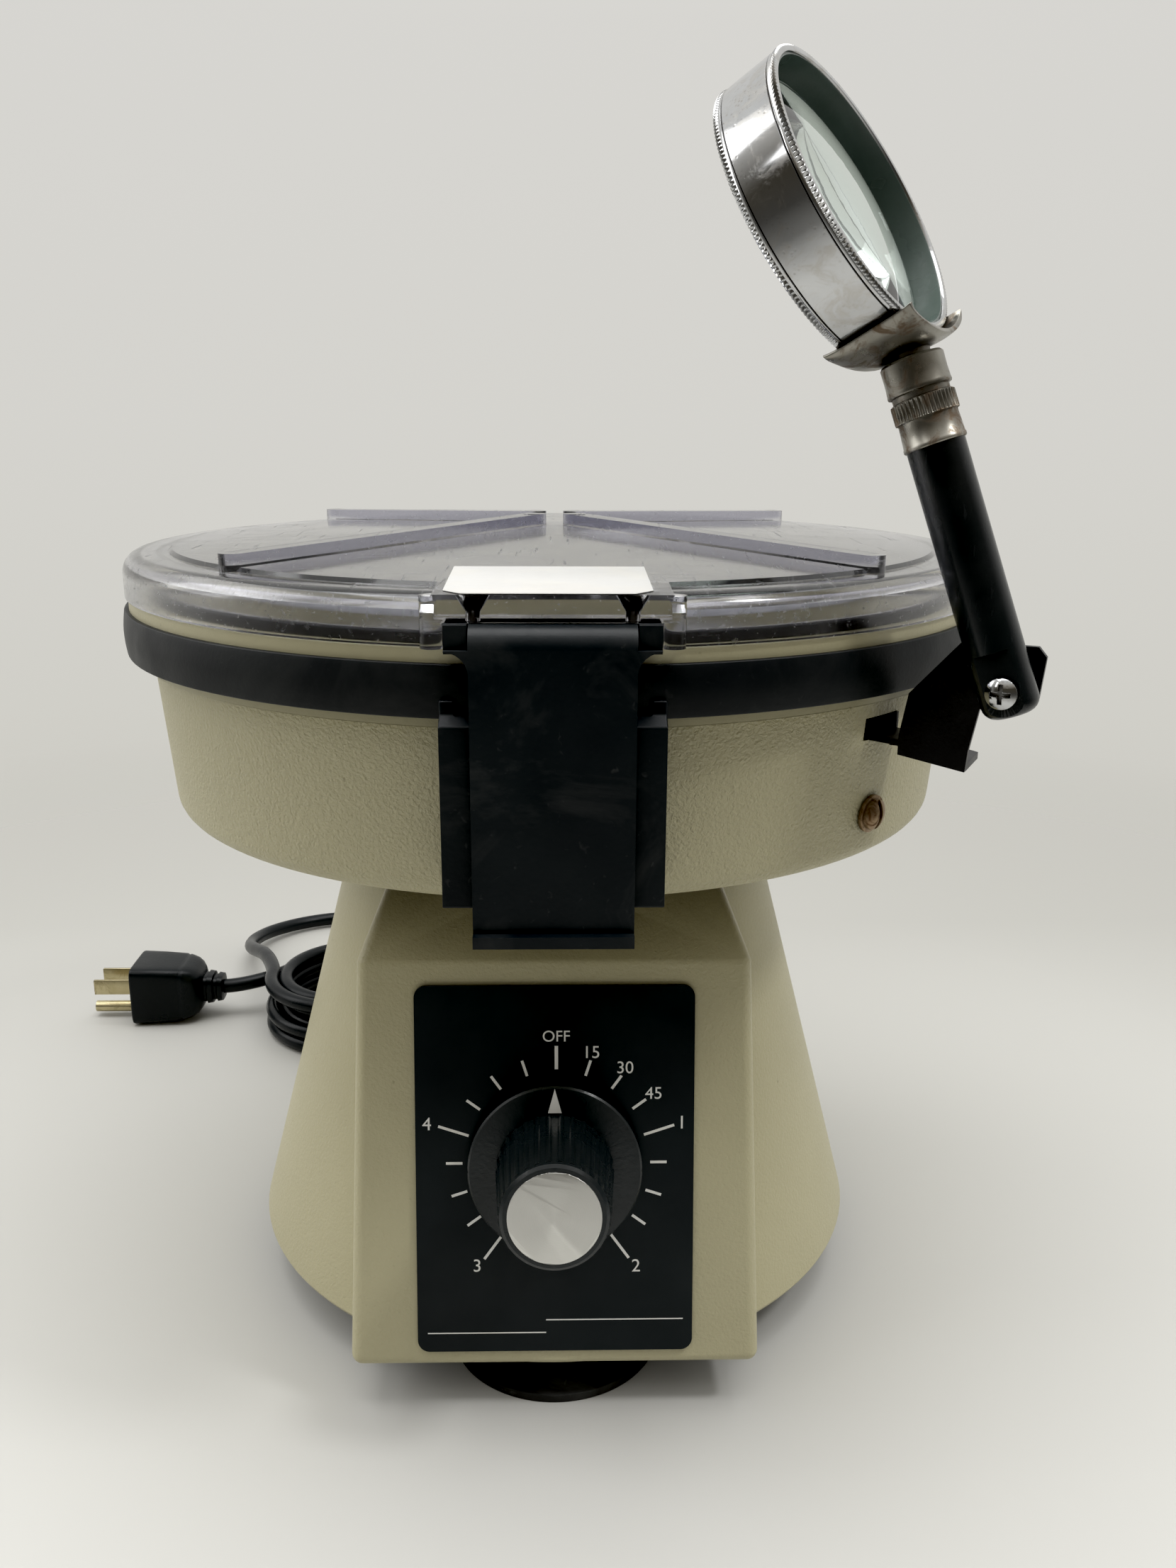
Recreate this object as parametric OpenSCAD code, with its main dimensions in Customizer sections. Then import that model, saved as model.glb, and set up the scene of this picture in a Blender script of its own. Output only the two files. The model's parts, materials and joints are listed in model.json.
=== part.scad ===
// Table-top haematocrit microcentrifuge: a round bowl with a clear hinged lid on a
// conical base with a tilted timer panel, and a swing-out reading magnifier.
// Millimetres. The rotor axis is the Z axis, the bench is z = 0 and the front faces -Y.

/* [Bowl] */
// Height of the bowl's top flange above the bench
flange_top = 210.8; // [209:0.1:211]
// Outer radius of the bowl's top flange
flange_r = 119.2; // [118:0.1:119.6]
// Outer radius of the bowl wall just below the bumper
bowl_top_r = 113.8; // [113:0.1:114]
// Outer radius of the bowl wall at its lower corner
bowl_low_r = 110.4; // [109.5:0.1:111]
// Height of the bowl's underside
bowl_floor_z = 151; // [151:0.5:152]
// Thickness of the bowl wall
bowl_wall = 3.2; // [2.8:0.1:3.4]

/* [Lid] */
// Outer radius of the lid's skirt
lid_r = 120; // [119.8:0.1:120.2]
// Height of the lid's top at its rim
lid_top = 223.2; // [222.8:0.1:223.4]
// Height of the lid's top at its centre
lid_crown = 228; // [227:0.1:228.4]
// Thickness of the lid's clear sheet
lid_wall = 3.4; // [3:0.1:3.6]
// Height of the four raised ribs above the lid
rib_h = 3.2; // [2.6:0.1:4]
// Width of a raised rib
rib_w = 6.4; // [5:0.1:8]

/* [Base] */
// Height of the base's lower edge above the bench
base_bottom = 13.5; // [13:0.1:14.5]
// Radius of the base cone at its lower edge
base_low_r = 94.1; // [93:0.1:94.5]
// Radius of the base cone where it meets the bowl
base_neck_r = 57.6; // [57:0.1:58.5]
// Tilt of the timer panel back from the vertical
panel_tilt = 9.6; // [9:0.1:10]

/* [Feet] */
// Radius of a suction foot on the bench
foot_r = 29.5; // [25:0.5:30]
// Distance of each foot from the rotor axis
foot_pitch_r = 61.5; // [60:0.5:62]

/* [Timer] */
// Radius of the timer knob's skirt
skirt_r = 22.6; // [22.4:0.1:23]
// Radius of the knob's fluted grip
grip_r = 14.4; // [13.5:0.1:15]
// Distance that the knob stands out from the panel
knob_h = 33; // [30:0.5:34]
// Number of flutes on the grip
flutes = 30; // [24:1:36]

/* [Rotor] */
// Radius of the tube rotor
rotor_r = 97; // [94:0.5:98]
// Number of capillary tube slots
tube_slots = 24; // [12:4:24]
// Radius of the motor shaft
shaft_r = 4; // [3.9:0.1:4]

/* [Magnifier] */
// Outer radius of the lens ring
lens_ring_r = 33.2; // [32.5:0.1:34]
// Width of the lens ring
lens_ring_w = 15.4; // [14.5:0.1:16]
// Radius of the handle rod
rod_r = 6.35; // [6:0.05:6.5]
// Lean of the handle towards the lid
handle_lean = 20.5; // [18:0.1:22]
// Further lean of the lens head on its handle
head_lean = 9.3; // [8:0.1:11]

/* [Cord] */
// Diameter of the mains cord
cord_d = 6.2; // [6:0.1:6.4]
// Radius of the coil at the middle of its turns
coil_r = 33; // [32:0.5:34]

/* [Hidden] */
$fn = 96;
gap = 0.05;                  // clearance round a fixed screw or pin
run = 0.05;                  // radial clearance round a turning shaft
edge_r = 3;                  // rounding on the front housing's edges

// bowl
bowl_corner = 5;
step_z = 193;                // small step under the bumper
step_r = 116;
bumper_z = [195.9, 207.7];
bumper_seat_r = 114.2;
bumper_r = 120.4;
bumper_bulge = 0.6;
chamber_r = 109.4;           // inside of the bowl at its rim
floor_top = bowl_floor_z + 4;
floor_hole_r = 16;

// lid
skirt_bottom = 211.2;
lid_edge = 5;
lid_step_r = 107;
tab_half = 22.9;             // half width of the notch for the latch
tab_front = -121;
tab_under = 216.8;
rivet_x = 16.6;
rivet_y = -116.5;
rivet_z = 222.2;

// hinge at the back
hinge_y = 125.5;
hinge_z = 206;
knuckle_r = 4;
hinge_pin_r = 2;
leaf_half = 11.8;
ear_half = 24;

// latch
strap_half = 17.3;
strap_front = -126.3;
strap_t = 3;
strap_bottom = 147.9;
strap_bend = 4.85;           // outer radius of the strap's bend about its pivot
strap_pivot = [0, strap_front + strap_bend, 211.8];
lip_front = -128.3;
rail_half = 24;
rail_front = -123;
rail_top = 200.3;
rail_bottom = 155.2;

// base and panel
cone_slope = (base_low_r - base_neck_r) / (bowl_floor_z - base_bottom);
base_wall = 3;
panel_foot = [0, -94, 12];   // a point of the panel's plane
dial_up = 57.8;              // dial centre, up the panel from that point
plate_w = 72.6;
plate_h = 99;
plate_mid_up = 56.4;
plate_t = 1;
neck_hole_r = 48;
base_plate_z = [base_bottom + 0.5, base_bottom + 2];
shell_screws = [for (a = [45, 135, 225, 315]) [52 * cos(a), 52 * sin(a)]];
plate_screws = [[58, 58], [-58, 58], [48.5, -86.5], [-48.5, -86.5]];
foot_angles = [-90, 30, 150];

// motor
motor_r = 38;
motor_z = [46, 141];
mount_plate_z = [141, 143.5];
isolator_r = 42;
brush_z = 55.5;

// rotor stack
plate_z = 170;
rotor_rim_z = 184;
cover_z = [184, 185.6];
nut_z = [185.6, 197];

// magnifier
bracket_turn = -28.6;        // direction of the bracket plate about Z
pivot = [99.6, -107.3, 200.3];
flat_half = 5;               // half thickness of the rod at its pivot
plate_gap = 0.6;
bracket_t = 1.6;
rod_foot = -6;               // along the handle from the pivot
rod_top = 55.2;
cone_top = 61.4;
collar_top = 65.8;
neck_top = 67.2;
socket_top = 74.3;
stem_r = 3;
yoke_t = 1.2;
lens_up = 35.9;              // lens axis above the socket
head_turn = -4.2;            // turn of the lens head on its stem at rest
ring_mid = -0.8;             // middle of the ring along the lens axis
arm_az = -45.7;              // azimuth of the bracket arm's slot
arm_z = [183.3, 184.9];
fix_z = 163.6;               // height of the bracket's fixing screw

// mains cord: free stretches, with points chosen by hand
coil_at = [-88, 146];
coil_z = [0.5, 25.3];
coil_half_w = cord_d;
exit_y = 122;
exit_z = 24;
cord_route = [
    [0, 122, 24], [0, 134, 22], [-2, 150, 15], [-6, 166, 8], [-12, 184, 4.5],
    [-22, 204, 4], [-36, 224, 4], [-54, 242, 4], [-76, 255, 4], [-98, 260, 4],
    [-120, 257, 4], [-138, 246, 4.5], [-148, 230, 6], [-149, 212, 9],
    [-144, 194, 14], [-135, 176, 19.5], [-127, 160, 22.2], [-124, 149, 22.2]
];
plug_route = [
    [-118, 167, 16], [-122, 161, 15.8], [-128, 156, 15.4], [-136, 152.5, 14.6],
    [-144, 152, 13.8], [-150, 152, 13.5]
];
plug_at = [-150, 152, 13.5];

// ---------- helpers ----------

function arc(cx, cy, r, a0, a1, n) =
    [for (i = [0:n]) let (a = a0 + (a1 - a0) * i / n) [cx + r * cos(a), cy + r * sin(a)]];

function bowl_r(z) =
    bowl_low_r + (bowl_top_r - bowl_low_r) * (z - bowl_floor_z) / (step_z - bowl_floor_z);

function cone_r(z) = base_low_r - cone_slope * (z - base_bottom);

function lid_z(r) = lid_crown - (lid_crown - lid_top) * r / lid_step_r;

// the front edges' centre line, set back so that a rounding of edge_r meets the panel's plane
function edge_y(z) =
    panel_foot[1] + (z - panel_foot[2]) * tan(panel_tilt) + edge_r / cos(panel_tilt) + 0.02;

wall_draft = atan((bowl_top_r - bowl_low_r) / (step_z - bowl_floor_z));

module ring(r_in, r_out, z0, z1) {
    translate([0, 0, z0])
    difference() {
        cylinder(r = r_out, h = z1 - z0);
        translate([0, 0, -1]) cylinder(r = r_in, h = z1 - z0 + 2);
    }
}

module post(r, z0, z1) {
    translate([0, 0, z0]) cylinder(r = r, h = z1 - z0);
}

module hex(r, z0, z1) {
    translate([0, 0, z0]) cylinder(r = r, h = z1 - z0, $fn = 6);
}

module rounded_plate(w, h, t, r) {
    linear_extrude(t)
    union() {
        square([w - 2 * r, h], center = true);
        square([w, h - 2 * r], center = true);
        for (x = [-1, 1], y = [-1, 1]) translate([x * (w / 2 - r), y * (h / 2 - r)]) circle(r = r);
    }
}

// local +Z points out of the bowl wall, local X points down it
module on_wall(az, z, lift = 0) {
    rotate([0, 0, az])
    translate([bowl_r(z), 0, z])
    rotate([0, 90 + wall_draft, 0])
    translate([0, 0, lift])
    children();
}

// local X is to the right, local Y up the panel and local Z out of it
module on_panel(up, out = 0) {
    translate(panel_foot)
    rotate([90 - panel_tilt, 0, 0])
    translate([0, up, out])
    children();
}

// local X along the bracket plate, local Y into it
module at_pivot() {
    translate(pivot) rotate([0, 0, bracket_turn]) children();
}

module on_handle(along = 0) {
    at_pivot() rotate([0, -handle_lean, 0]) translate([0, 0, along]) children();
}

module on_head() {
    on_handle()
    rotate([0, 0, head_turn])
    translate([0, 0, socket_top])
    rotate([0, -head_lean, 0])
    children();
}

// a body of revolution about the lens axis, with its profile in (radius, along axis)
module lens_turn() {
    on_head() translate([0, 0, lens_up]) rotate([0, 90, 0]) children();
}

// ---------- bowl ----------

module bowl() {
    color([0.80, 0.77, 0.66])
    difference() {
        rotate_extrude()
        polygon(concat(
            [[floor_hole_r, bowl_floor_z]],
            arc(bowl_low_r - bowl_corner, bowl_floor_z + bowl_corner, bowl_corner, -90, -4, 6),
            [[bowl_top_r, step_z], [step_r, step_z], [step_r, bumper_z[0]],
             [bumper_seat_r, bumper_z[0]], [bumper_seat_r, bumper_z[1]],
             [flange_r, bumper_z[1]], [flange_r, flange_top], [chamber_r, flange_top]],
            arc(bowl_low_r - bowl_wall - 6, floor_top + 6, 6, 0, -90, 6),
            [[floor_hole_r, floor_top]]));
        bracket_slot();
        on_wall(arm_az, fix_z, -10) cylinder(r = 2 + gap, h = 20);
        for (p = shell_screws) translate([p[0], p[1], 0]) post(2 + gap, 140, 170);
        for (a = [30, 150, 270]) rotate([0, 0, a]) translate([isolator_r, 0, 0]) post(2 + gap, 140, 170);
    }
}

module bracket_slot() {
    rotate([0, 0, arm_az]) translate([95, -6.8, 183.1]) cube([30, 13.6, 5.6]);
}

module bumper_ring() {
    color([0.07, 0.08, 0.09])
    rotate_extrude()
    polygon(concat(
        [[bumper_seat_r, bumper_z[0]]],
        [for (i = [0:8]) [bumper_r + bumper_bulge * sin(180 * i / 8),
            bumper_z[0] + (bumper_z[1] - bumper_z[0]) * i / 8]],
        [[bumper_seat_r, bumper_z[1]]]));
}

module bowl_gasket() {
    color([0.09, 0.09, 0.09]) ring(109.5, 113, flange_top, flange_top + 2.5);
}

// ---------- base ----------

// rounded front housing; a smaller edge radius about the same centres gives its inside
module front_box(r, low) {
    hull() {
        for (s = [-1, 1]) {
            translate([s * 51.3, edge_y(low), low]) sphere(r = r, $fn = 32);
            translate([s * 48.2, edge_y(121), 121]) sphere(r = r, $fn = 32);
            translate([s * 36.9, -50, bowl_floor_z - 3.5]) sphere(r = r, $fn = 32);
            translate([s * 36.9, -12, bowl_floor_z - 3.5]) sphere(r = r, $fn = 32);
            translate([s * 48.2, -12, low]) sphere(r = r, $fn = 32);
        }
    }
}

module base_shell() {
    color([0.79, 0.76, 0.65])
    union() {
        difference() {
            union() {
                rotate_extrude()
                polygon(concat(
                    [[0, base_bottom]],
                    arc(cone_r(base_bottom + 2.2) - 3, base_bottom + 3, 3, -90, -14, 5),
                    [[base_neck_r, bowl_floor_z], [0, bowl_floor_z]]));
                front_box(edge_r, base_bottom + edge_r);
            }
            rotate_extrude()
            polygon([[0, base_bottom - 2], [cone_r(base_bottom - 2) - base_wall, base_bottom - 2],
                [cone_r(bowl_floor_z - 4) - base_wall, bowl_floor_z - 4], [0, bowl_floor_z - 4]]);
            intersection() {
                front_box(0.6, base_bottom - 1);
                translate([-60, -100, 0]) cube([120, 100, bowl_floor_z - 4]);
            }
            post(neck_hole_r, 140, 160);
            for (p = shell_screws) translate([p[0], p[1], 0]) post(2 + gap, 140, 160);
            on_panel(dial_up, -10) cylinder(r = 5 + gap, h = 20);
            translate([0, 80, exit_z]) rotate([-90, 0, 0]) cylinder(r = 6 + gap, h = 20);
        }
        for (p = plate_screws) translate([p[0], p[1], 0])
            ring(1.6 + gap, 4.5, base_plate_z[1], p[1] > 0 ? 34 : 25);
    }
}

module base_screws() {
    color([0.62, 0.63, 0.64])
    for (p = shell_screws) translate([p[0], p[1], 0]) {
        post(2, bowl_floor_z - 4, floor_top);
        difference() {
            post(3.8, floor_top, floor_top + 2.4);
            translate([-5, -0.5, floor_top + 1.4]) cube([10, 1, 2]);
        }
    }
}

module base_plate() {
    color([0.55, 0.56, 0.57])
    translate([0, 0, base_plate_z[0]])
    linear_extrude(base_plate_z[1] - base_plate_z[0])
    difference() {
        union() {
            circle(r = 88.4);
            translate([-51, -90.4]) square([102, 60]);
        }
        for (p = plate_screws) translate(p) circle(r = 1.6 + gap);
        for (a = foot_angles) rotate(a) translate([foot_pitch_r, 0]) circle(r = 2.5 + gap);
        for (i = [-3:3]) translate([i * 9 - 1.5, -18]) square([3, 36]);
    }
}

module base_plate_screws() {
    color([0.62, 0.63, 0.64])
    for (p = plate_screws) translate([p[0], p[1], 0]) {
        post(1.6, base_plate_z[0], 23);
        difference() {
            post(3.2, base_plate_z[0] - 1.8, base_plate_z[0]);
            translate([-4, -0.4, base_plate_z[0] - 2.4]) cube([8, 0.8, 1.4]);
        }
    }
}

// ---------- suction feet ----------

module foot(a) {
    color([0.08, 0.08, 0.08])
    rotate([0, 0, a]) translate([foot_pitch_r, 0, 0])
    rotate_extrude()
    polygon(concat(
        [[2.5, 3.4], [8, 3.2], [16, 2.4], [24, 0.4], [25, 0], [foot_r, 0], [foot_r, 2.4]],
        arc(foot_r - 0.5, 12.5, 10, -95, -150, 6),
        [[15, base_plate_z[0]], [2.5, base_plate_z[0]]]));
}

module foot_front() { foot(foot_angles[0]); }
module foot_right() { foot(foot_angles[1]); }
module foot_left() { foot(foot_angles[2]); }

module foot_bolts() {
    color([0.62, 0.63, 0.64])
    for (a = foot_angles) rotate([0, 0, a]) translate([foot_pitch_r, 0, 0]) {
        post(2.5, 3.4, base_plate_z[1] + 5);
        ring(2.5, 7, base_plate_z[1], base_plate_z[1] + 1);
        difference() {
            hex(4.6, base_plate_z[1] + 1, base_plate_z[1] + 4.4);
            post(2.5, base_plate_z[1], base_plate_z[1] + 6);
        }
    }
}

// ---------- timer ----------

module control_plate() {
    color([0.05, 0.06, 0.07])
    difference() {
        on_panel(plate_mid_up) rounded_plate(plate_w, plate_h, plate_t, 3.2);
        on_panel(dial_up, -5) cylinder(r = 5 + gap, h = 10);
    }
}

module timer_body() {
    color([0.68, 0.66, 0.58])
    difference() {
        union() {
            on_panel(dial_up, -2.5) mirror([0, 0, 1]) rounded_plate(44, 44, 3, 4);
            on_panel(dial_up, -5.5) mirror([0, 0, 1]) rounded_plate(38, 38, 22, 2);
            on_panel(dial_up, -3) cylinder(r = 5, h = 5.4);
            for (x = [-12, 0, 12]) on_panel(dial_up - 10, -34) translate([x - 3, 0, 0]) cube([6, 1, 8]);
        }
        on_panel(dial_up, -20) cylinder(r = 3 + run, h = 30);
    }
}

module timer_nut() {
    color([0.72, 0.72, 0.7])
    on_panel(dial_up, plate_t)
    difference() {
        cylinder(r = 7.4, h = 1.3, $fn = 6);
        translate([0, 0, -1]) cylinder(r = 5 + gap, h = 4);
    }
}

module timer_spindle() {
    color([0.75, 0.75, 0.73]) on_panel(dial_up, -20) cylinder(r = 3, h = 42);
}

module timer_knob() {
    color([0.05, 0.05, 0.06])
    on_panel(dial_up, 0)
    difference() {
        union() {
            rotate_extrude()
            polygon([[0, 1.8], [skirt_r - 0.6, 1.8], [skirt_r, 2.4], [skirt_r, 4.5],
                [skirt_r - 0.5, 5], [grip_r + 0.6, 5], [grip_r - 1.2, knob_h - 0.6],
                [grip_r - 2, knob_h], [0, knob_h]]);
            for (i = [0:flutes - 1]) rotate([0, 0, 360 * i / flutes])
                translate([grip_r + 0.1, 0, 4])
                rotate([0, -3.6, 0])
                cylinder(r = 0.9, h = knob_h - 5.6, $fn = 16);
        }
        translate([0, 0, -1]) cylinder(r = 8.6, h = 5);
        cylinder(r = 3, h = 22);
        translate([0, 0, knob_h - 1]) cylinder(r = 11.4, h = 2);
        translate([0, -3, 12]) rotate([90, 0, 0]) cylinder(r = 1.5, h = 15);
    }
}

module knob_cap() {
    color([0.80, 0.80, 0.79]) on_panel(dial_up, knob_h - 1) cylinder(r = 11.35, h = 1.2);
}

module knob_pointer() {
    color([0.93, 0.93, 0.9])
    on_panel(dial_up, 5)
    linear_extrude(0.35)
    polygon([[-1.75, 15.7], [1.75, 15.7], [0, 22.05]]);
}

module knob_set_screw() {
    color([0.45, 0.45, 0.45])
    on_panel(dial_up, 12) translate([0, -3.05, 0]) rotate([90, 0, 0]) cylinder(r = 1.45, h = 8);
}

// ---------- motor ----------

module motor_plate() {
    color([0.62, 0.63, 0.63])
    difference() {
        union() {
            post(50, mount_plate_z[0], mount_plate_z[1]);
            post(14.5, 136, 147);
        }
        post(11 + gap, 138, 150);
        post(6, 130, 150);
        for (a = [30, 150, 270]) rotate([0, 0, a]) translate([isolator_r, 0, 0]) post(2 + gap, 130, 160);
    }
}

module motor_mounts() {
    color([0.1, 0.1, 0.1])
    for (a = [30, 150, 270]) rotate([0, 0, a]) translate([isolator_r, 0, 0])
        ring(2 + gap, 5.4, mount_plate_z[1], bowl_floor_z);
}

module motor_screws() {
    color([0.62, 0.63, 0.64])
    for (a = [30, 150, 270]) rotate([0, 0, a]) translate([isolator_r, 0, 0]) {
        post(2, mount_plate_z[0] - 5, floor_top);
        post(3.8, floor_top, floor_top + 2.4);
        difference() {
            hex(4, mount_plate_z[0] - 3.2, mount_plate_z[0]);
            post(2, 130, 150);
        }
    }
}

module motor_shell() {
    color([0.5, 0.52, 0.54])
    difference() {
        ring(motor_r - 2, motor_r, motor_z[0], motor_z[1]);
        for (i = [0:7]) rotate([0, 0, 45 * i + 22.5])
            translate([motor_r - 4, -4, 122]) cube([6, 8, 12]);
        for (s = [-1, 1]) translate([s * 30, 0, brush_z]) rotate([0, s * 90, 0])
            cylinder(r = 6 + gap, h = 12);
    }
}

module motor_end_bell() {
    color([0.6, 0.61, 0.62])
    difference() {
        union() {
            post(motor_r, 42, motor_z[0]);
            post(15, 38.5, 48);
        }
        post(11 + gap, 41, 50);
        post(6, 30, 50);
        for (i = [0:5]) rotate([0, 0, 60 * i]) translate([26, 0, 0]) post(5, 40, 50);
    }
}

module field_stack() {
    color([0.42, 0.43, 0.44])
    difference() {
        intersection() {
            post(motor_r - 2, 70, 115);
            union() {
                ring(31, motor_r, 70, 115);
                for (s = [-1, 1]) translate([-16, s > 0 ? 20 : -36, 70]) cube([32, 16, 45]);
            }
        }
        post(24.2, 60, 120);
    }
}

module field_windings() {
    color([0.72, 0.42, 0.22])
    for (s = [0, 180]) rotate([0, 0, s])
        intersection() {
            ring(25.2, 31, 64, 121);
            difference() {
                translate([-25, 16.2, 64]) cube([50, 20, 57]);
                translate([-16, 10, 70]) cube([32, 30, 45]);
            }
        }
}

module brush_caps() {
    color([0.25, 0.13, 0.08])
    for (s = [-1, 1]) translate([s * 30, 0, brush_z]) rotate([0, s * 90, 0])
        difference() {
            cylinder(r = 6, h = 11);
            translate([0, 0, -1]) cylinder(r = 3.1, h = 6);
            translate([-7, -0.6, 10]) cube([14, 1.2, 2]);
        }
}

module carbon_brushes() {
    color([0.15, 0.15, 0.16])
    for (s = [-1, 1]) translate([s * 11.1, 0, brush_z]) rotate([0, s * 90, 0]) cylinder(r = 3, h = 23);
}

module bearings() {
    color([0.7, 0.71, 0.72])
    for (z = [41.2, 138.2])
        difference() {
            ring(shaft_r + run, 11, z, z + 6.8);
            ring(6.6, 8.8, z + 6.2, z + 8);
        }
}

module motor_shaft() {
    color([0.74, 0.75, 0.76])
    union() {
        post(shaft_r, 24, 175);
        post(3, 175, 194);
    }
}

module armature() {
    color([0.55, 0.38, 0.25])
    difference() {
        union() {
            difference() {
                post(23.6, 70, 115);
                for (i = [0:11]) rotate([0, 0, 30 * i]) translate([20, -1.2, 69]) cube([6, 2.4, 47]);
            }
            post(19, 62.5, 122);
        }
        post(shaft_r, 50, 130);
    }
}

module commutator() {
    color([0.72, 0.45, 0.26]) ring(shaft_r, 11, 50, 61.5);
}

module cooling_fan() {
    color([0.13, 0.13, 0.14])
    difference() {
        union() {
            post(8, 25, 37);
            post(33, 25, 26.5);
            for (i = [0:8]) rotate([0, 0, 40 * i]) translate([7, -0.8, 26]) cube([25, 1.6, 9]);
        }
        post(shaft_r, 20, 40);
    }
}

// ---------- tube rotor ----------

module rotor_plate() {
    color([0.76, 0.77, 0.78])
    difference() {
        union() {
            post(rotor_r, plate_z, plate_z + 5);
            ring(rotor_r - 3.4, rotor_r, plate_z, rotor_rim_z);
            post(14, 160, plate_z);
            post(12, plate_z, rotor_rim_z);
        }
        post(shaft_r, 150, 175);
        post(3 + gap, 150, 190);
        for (i = [0:tube_slots - 1]) rotate([0, 0, 360 * (i + 0.5) / tube_slots])
            translate([16, -1, plate_z + 3]) cube([74, 2, 5]);
    }
}

module tube_gasket() {
    color([0.13, 0.13, 0.13]) ring(rotor_r - 6.4, rotor_r - 3.4, plate_z + 5, rotor_rim_z - 0.4);
}

module rotor_cover() {
    color([0.8, 0.81, 0.82])
    difference() {
        union() {
            post(rotor_r - 0.5, cover_z[0], cover_z[1]);
            ring(60, 62, cover_z[1], cover_z[1] + 0.8);
        }
        post(3 + gap, 180, 190);
        for (i = [0:tube_slots - 1]) rotate([0, 0, 360 * (i + 0.5) / tube_slots])
            translate([86, 0, 0]) post(1.6, 180, 190);
    }
}

module rotor_nut() {
    color([0.12, 0.12, 0.13])
    difference() {
        union() {
            post(10, nut_z[0], nut_z[1]);
            for (i = [0:11]) rotate([0, 0, 30 * i]) translate([10, 0, 0]) post(1.4, nut_z[0], nut_z[1] - 1);
        }
        post(3, 180, 194);
    }
}

// ---------- lid ----------

module lid_profile() {
    polygon(concat(
        [[0, lid_z(8)], [8, lid_z(8)], [lid_step_r, lid_top], [lid_step_r + 1, lid_top - 0.9]],
        arc(lid_r - lid_edge, lid_top - 0.9 - lid_edge, lid_edge, 90, 0, 8),
        [[lid_r, skirt_bottom], [lid_r - lid_wall, skirt_bottom],
         [lid_r - lid_wall, lid_top - lid_wall - 1.6], [lid_r - lid_wall - 1.6, lid_top - lid_wall],
         [111.2, lid_top - lid_wall], [111.2, 213.4], [109.4, 213.4], [109.4, lid_top - lid_wall],
         [lid_step_r, lid_top - lid_wall], [8, lid_z(8) - lid_wall], [0, lid_z(8) - lid_wall]]));
}

module lid_rib(a) {
    rotate([0, 0, a]) {
        translate([0, rib_w / 2, 0])
            rotate([90, 0, 0])
            linear_extrude(rib_w)
            polygon([[8, lid_z(8) - 1], [lid_step_r, lid_top - 1],
                [lid_step_r, lid_top + rib_h], [8, lid_z(8) + rib_h]]);
        for (x = [8, lid_step_r])
            translate([x, 0, 0]) post(rib_w / 2, lid_z(x) - 1, lid_z(x) + rib_h);
    }
}

// the thick tab over the latch, with its top in line with the lid's slope
module lid_tab() {
    intersection() {
        translate([-tab_half - 2, 0, 0])
            rotate([90, 0, 90])
            linear_extrude(2 * tab_half + 4)
            polygon([[tab_front, tab_under], [tab_front, lid_z(-tab_front)],
                [-103, lid_z(103)], [-103, tab_under]]);
        post(124, 210, 230);
    }
}

module lid_shell() {
    color([0.82, 0.83, 0.80, 0.35])
    difference() {
        union() {
            rotate_extrude() lid_profile();
            for (a = [45, 135, 225, 315]) lid_rib(a);
            lid_tab();
            for (s = [-1, 1])
                translate([s * (tab_half + 2.2), -118.4, 0]) post(2.6, skirt_bottom, lid_top - 1);
            intersection() {
                translate([-15, 109, 213.4]) cube([30, 8.5, 7.6]);
                post(lid_r - 1, 210, 222);
            }
        }
        translate([-tab_half, -124, 205]) cube([2 * tab_half, 14.5, tab_under - 205]);
        for (s = [-1, 1]) translate([s * rivet_x, rivet_y, 0]) {
            post(1.5 + gap, 210, 230);
            translate([0, 0, rivet_z - 3.4]) cylinder(r1 = 1.5 + gap, r2 = 3.6 + gap, h = 3.4);
            post(3.6 + gap, rivet_z - 0.01, 230);
        }
        for (s = [-1, 1])
            translate([s * 7, 112, 216]) rotate([-90, 0, 0]) cylinder(r = 1.5 + gap, h = 12);
    }
}

module lid_label() {
    color([0.93, 0.93, 0.91])
    translate([-1, tab_front, lid_z(-tab_front)])
    rotate([atan((lid_crown - lid_top) / lid_step_r), 0, 0])
    linear_extrude(0.25)
    polygon([[-21.8, 4.4], [-18, 0.6], [18, 0.6], [21.8, 4.4], [21.8, 36], [-21.8, 36]]);
}

module lid_rivets() {
    color([0.35, 0.33, 0.31])
    for (s = [-1, 1]) translate([s * rivet_x, rivet_y, 0]) {
        post(1.5, 211.6, rivet_z - 3);
        translate([0, 0, rivet_z - 3.4]) cylinder(r1 = 1.5, r2 = 3.6, h = 3.4);
    }
}

// ---------- latch ----------

module latch_block() {
    color([0.05, 0.06, 0.07])
    difference() {
        translate([-tab_half + 0.5, -124.4, 210.9])
            cube([2 * tab_half - 1, 13.4, tab_under - 210.9]);
        translate([-strap_half - 0.3, -130, 205]) cube([2 * strap_half + 0.6, 9.9, 20]);
        for (s = [-1, 1]) translate([s * rivet_x, rivet_y, 0]) post(1.5 + gap, 205, 220);
        strap_axis(1.9 + run, strap_half + 0.3);
        strap_axis(1.2 + run, strap_half + 3);
        post(flange_r + 0.2, 205, flange_top + 0.2);
        post(113 + gap, 205, 213.4);
    }
}

module strap_axis(r, half) {
    translate([-half, strap_pivot[1], strap_pivot[2]]) rotate([0, 90, 0]) cylinder(r = r, h = 2 * half);
}

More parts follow.
